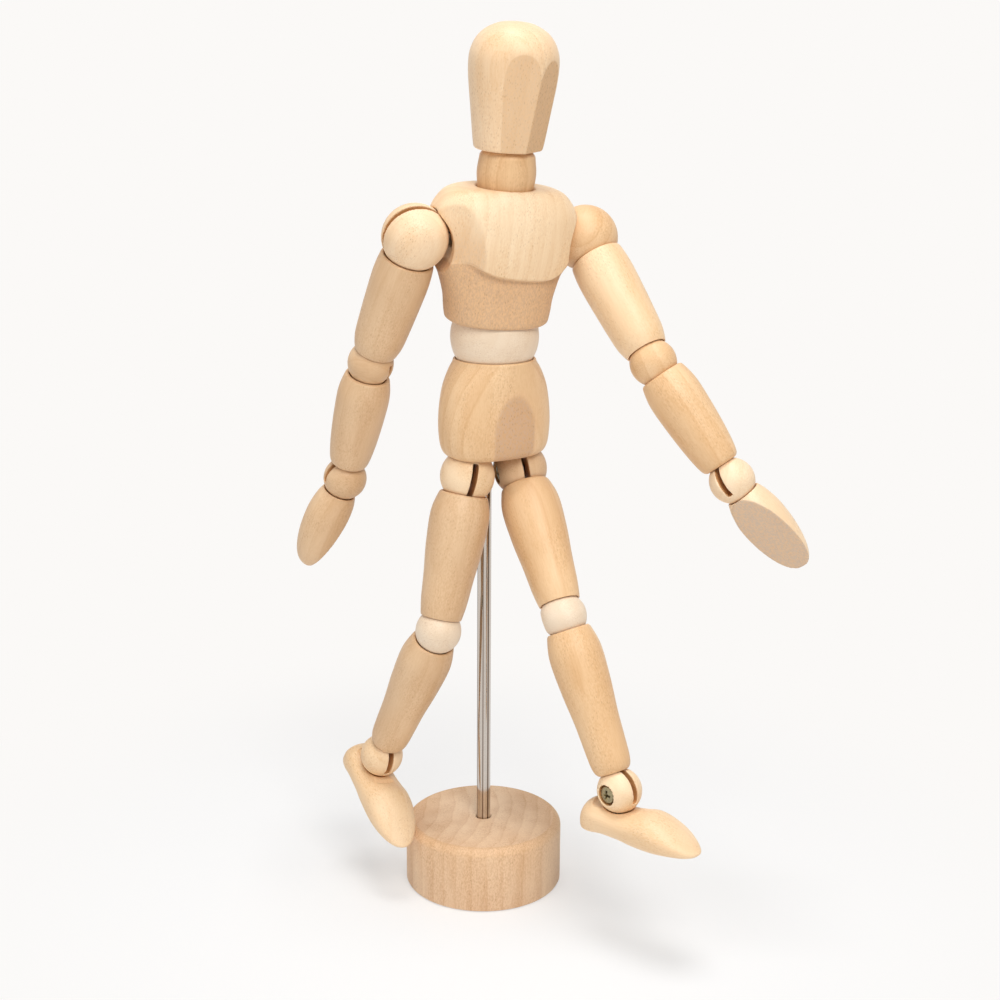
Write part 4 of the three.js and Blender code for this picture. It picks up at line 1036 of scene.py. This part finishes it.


# Arms: right and left differ in pose, in how far the saw went into the shoulder ball, and in the
# colour of their wood; the right arm's darker wood and the left shoulder ball's honey tone are
# painted shade.
for side, sign, hand_turn, slot_floor, ball_timber, timbers in (
    ("right", -1, 2.2, 0.6, head_beech, [shaded_dusky_beech] * 4),
    ("left", 1, -4, 0.42, honey_beech, [cream_beech, honey_beech, honey_beech, fair_beech]),
):
    joint = f"{side}_shoulder"
    swing, up = joint_axis(f"{joint}_hinge"), joint_axis(f"{joint}_swivel")
    ball_seat = seat(joint_centre(f"{joint}_hinge"), up, swing)
    limb_ball(joint, SHOULDER_BALL, -1, SHOULDER_BALL * slot_floor, True, 1, ball_seat, ball_timber)
    end_seat = hang_limb(
        side, ("shoulder", "elbow", "wrist", "upper_arm", "forearm", "hand"),
        (SHOULDER_BALL, ELBOW_BALL, WRIST_BALL), (UPPER_ARM, FOREARM), (0.74, 0.66),
        (upper_arm_shape, forearm_shape), timbers, (-1, -sign), 5,
    )
    hand(f"{side}_hand", WRIST_BALL, end_seat @ turn_about("Z", hand_turn), timbers[-1])

# Legs: built like the arms, with longer spindles. Each hangs on a spring of its own, hooked on the
# hip screw and gripped in the pelvis.
# The right leg's darker wood and the darker left hip ball are painted shade.
for side, sign, foot_turn, ball_timber, timber in (
    ("right", -1, 4.3, cream_beech, shaded_dusky_beech),
    ("left", 1, 10.1, shaded_dusky_beech, honey_beech),
):
    hip, swing = joint_centre(f"{side}_hip_hinge"), joint_axis(f"{side}_hip_hinge")
    ball_seat = seat(hip, swing.cross(joint_axis(f"{side}_hip_tilt") * -sign), swing)
    limb_ball(f"{side}_hip", HIP_BALL, -1, HIP_BALL * 0.62, True, -sign, ball_seat, ball_timber)
    hip_eye = [ball_seat.to_3x3() @ p for p in trunk_eye()]
    grip = coil(-(HIP_BALL + CUP_GAP + 1.5), 6.5, atan2(hip_eye[-1].y, hip_eye[-1].x))
    hip_eye += [Vector((p.x, p.y, -p.z)) for p in grip]
    spring = f"{side}_hip_spring"
    wire_piece(f"{side}_hip_wire", hip_eye, Matrix.Translation(hip), spring, spring)
    end_seat = hang_limb(
        side, ("hip", "knee", "ankle", "thigh", "shank", "foot"), (HIP_BALL, KNEE_BALL, ANKLE_BALL),
        (THIGH, SHANK), (0.8, 0.64), (thigh_shape, shank_shape),
        (timber, pale_beech, timber, cream_beech), (-sign, -sign), 3,
    )
    foot(f"{side}_foot", ANKLE_BALL, end_seat @ turn_about("Z", foot_turn))

# Trunk springs: one long coil joins pelvis, waist ball and chest, another chest, neck and head,
# and a third lies across the chest with an eye on each shoulder screw.


def long_coil(foot_height, top_height, curve_height, lean):
    """Open coil, upright below the joint's centre and leaning with the piece above."""
    rounds = (top_height - foot_height) / 2.6
    steps = ceil(rounds * 12)
    points = []
    for i in range(steps + 1):
        height = top_height - (top_height - foot_height) * i / steps
        turned = Quaternion().slerp(lean, eased(height, 0, curve_height))
        angle = 2 * pi * i / 12
        points.append(turned @ Vector((2 * cos(angle), 2 * sin(angle), height)))
    return points


waist_lean = Vector((0, 0, 1)).rotation_difference(joint_axis("waist_turn"))
waist_wire = long_coil(WAIST_BORE_FLOOR + 0.4 - WAIST_RISE, waist_cup + 8.5, WAIST_BALL, waist_lean)
wire_piece("waist_wire", waist_wire, Matrix.Translation(waist), "waist_spring", "waist_spring")
neck_seat = seat(neck, joint_axis("waist_turn"), shoulders)
neck_lean = Vector((0, 0, 1)).rotation_difference(neck_seat.to_3x3().inverted() @ joint_axis("head_turn"))
neck_wire = long_coil(-NECK_END - 4.3, NECK_END + 9.3, NECK_HALF, neck_lean)
wire_piece("neck_wire", neck_wire, neck_seat, "neck_spring", "neck_spring")
into_chest = chest_seat.to_3x3().inverted()
shoulder_eyes = []
for side, sign in (("left", 1), ("right", -1)):
    up, across = [joint_axis(f"{side}_shoulder_{way}") for way in ("swivel", "hinge")]
    turn = seat(Vector(), up, across).to_3x3()
    place = Vector((sign * SHOULDER_SPACING, 0, SHOULDER_RISE))
    shoulder_eyes.append([into_chest @ turn @ p + place for p in trunk_eye()])
left_angle, right_angle = [atan2(points[-1].z - SHOULDER_RISE, points[-1].y) for points in shoulder_eyes]
rest_turn = (right_angle - left_angle) % (2 * pi)
size = (6 + rest_turn / (2 * pi)) * 1.3
across = [Vector((size / 2 + p.z, p.x, p.y + SHOULDER_RISE)) for p in coil(0, size, left_angle, rest_turn)]
across = shoulder_eyes[0] + across + shoulder_eyes[1][::-1]
wire_piece("shoulder_wire", across, chest_seat, "chest", "shoulder_spring")

# Studio: a plain near-white floor and room with soft light from above and in front, so the wood
# keeps its own colour and the floor shows a soft shadow.
BACKDROP = linear(251, 249, 247)


def looked_at(tree):
    """1 for what the camera, a mirror or glass sees, 0 for the light that falls on things."""
    ray = node(tree, "ShaderNodeLightPath").outputs
    seen = maths(tree, "MAXIMUM", ray["Is Camera Ray"], ray["Is Glossy Ray"])
    return maths(tree, "MAXIMUM", seen, ray["Is Transmission Ray"])


floor_mesh = bmesh.new()
bmesh.ops.create_grid(floor_mesh, x_segments=1, y_segments=1, size=6)
floor = new_piece("floor", from_bmesh(floor_mesh))
floor.location.z = -0.0002
paper, tree, body = blank_material("paper")
tree.nodes.remove(body)
shown = looked_at(tree)
spot = node(tree, "ShaderNodeTexCoord").outputs["Object"]
spot = node(tree, "ShaderNodeVectorMath", {"operation": "LENGTH"}, _0=spot)
near = maths(tree, "SUBTRACT", 1, between(tree, spot.outputs["Value"], 0.07, 0.24))
lit = maths(tree, "MULTIPLY", near, 0.5)
matt = node(tree, "ShaderNodeBsdfDiffuse", Color=linear(243, 243, 243))
glow = node(tree, "ShaderNodeEmission", Color=BACKDROP, Strength=shown)
unlit = maths(tree, "SUBTRACT", 1, lit)
cover = node(tree, "ShaderNodeMixShader", _0=unlit, _1=matt.outputs[0], _2=glow.outputs[0])
plain = node(tree, "ShaderNodeMixShader", _0=shown, _1=matt.outputs[0], _2=cover.outputs[0])
tree.links.new(plain.outputs[0], tree.nodes["Material Output"].inputs["Surface"])
floor.data.materials.append(paper)

world = bpy.data.worlds.new("room")
bpy.context.scene.world = world
world.use_nodes = True
tree = world.node_tree
shown = looked_at(tree)
air = tree.nodes["Background"]
air.inputs["Color"].default_value = (0.93, 0.96, 1, 1)
air.inputs["Strength"].default_value = 0.29
wall = node(tree, "ShaderNodeBackground", Color=BACKDROP, Strength=1)
seam = node(tree, "ShaderNodeMixShader", _0=shown, _1=air.outputs[0], _2=wall.outputs[0])
tree.links.new(seam.outputs[0], tree.nodes["World Output"].inputs["Surface"])


def soft_lamp(name, place, aim, power, wide, tall, colour):
    light = bpy.data.lights.new(name, "AREA")
    light.shape = "RECTANGLE"
    light.size, light.size_y = wide, tall
    light.energy = power
    light.color = colour
    lamp = new_piece(name, light)
    place = yaw @ Vector(place)
    toward = (Vector(aim) - place).to_track_quat("-Z", "Y")
    lamp.matrix_world = Matrix.Translation(place) @ toward.to_matrix().to_4x4()


soft_lamp("window", (0.26, -0.85, 1), (0, 0, 0.14), 7.7, 0.55, 0.55, (1, 0.99, 0.97))
soft_lamp("fill", (-0.9, -0.75, 0.7), (0, 0, 0.15), 2.6, 0.8, 0.8, (1, 0.99, 0.98))
soft_lamp("top", (0, -0.12, 2), (0, 0, 0.1), 18.5, 0.7, 0.7, (0.98, 0.99, 1))

bpy.context.scene.view_settings.view_transform = "Standard"
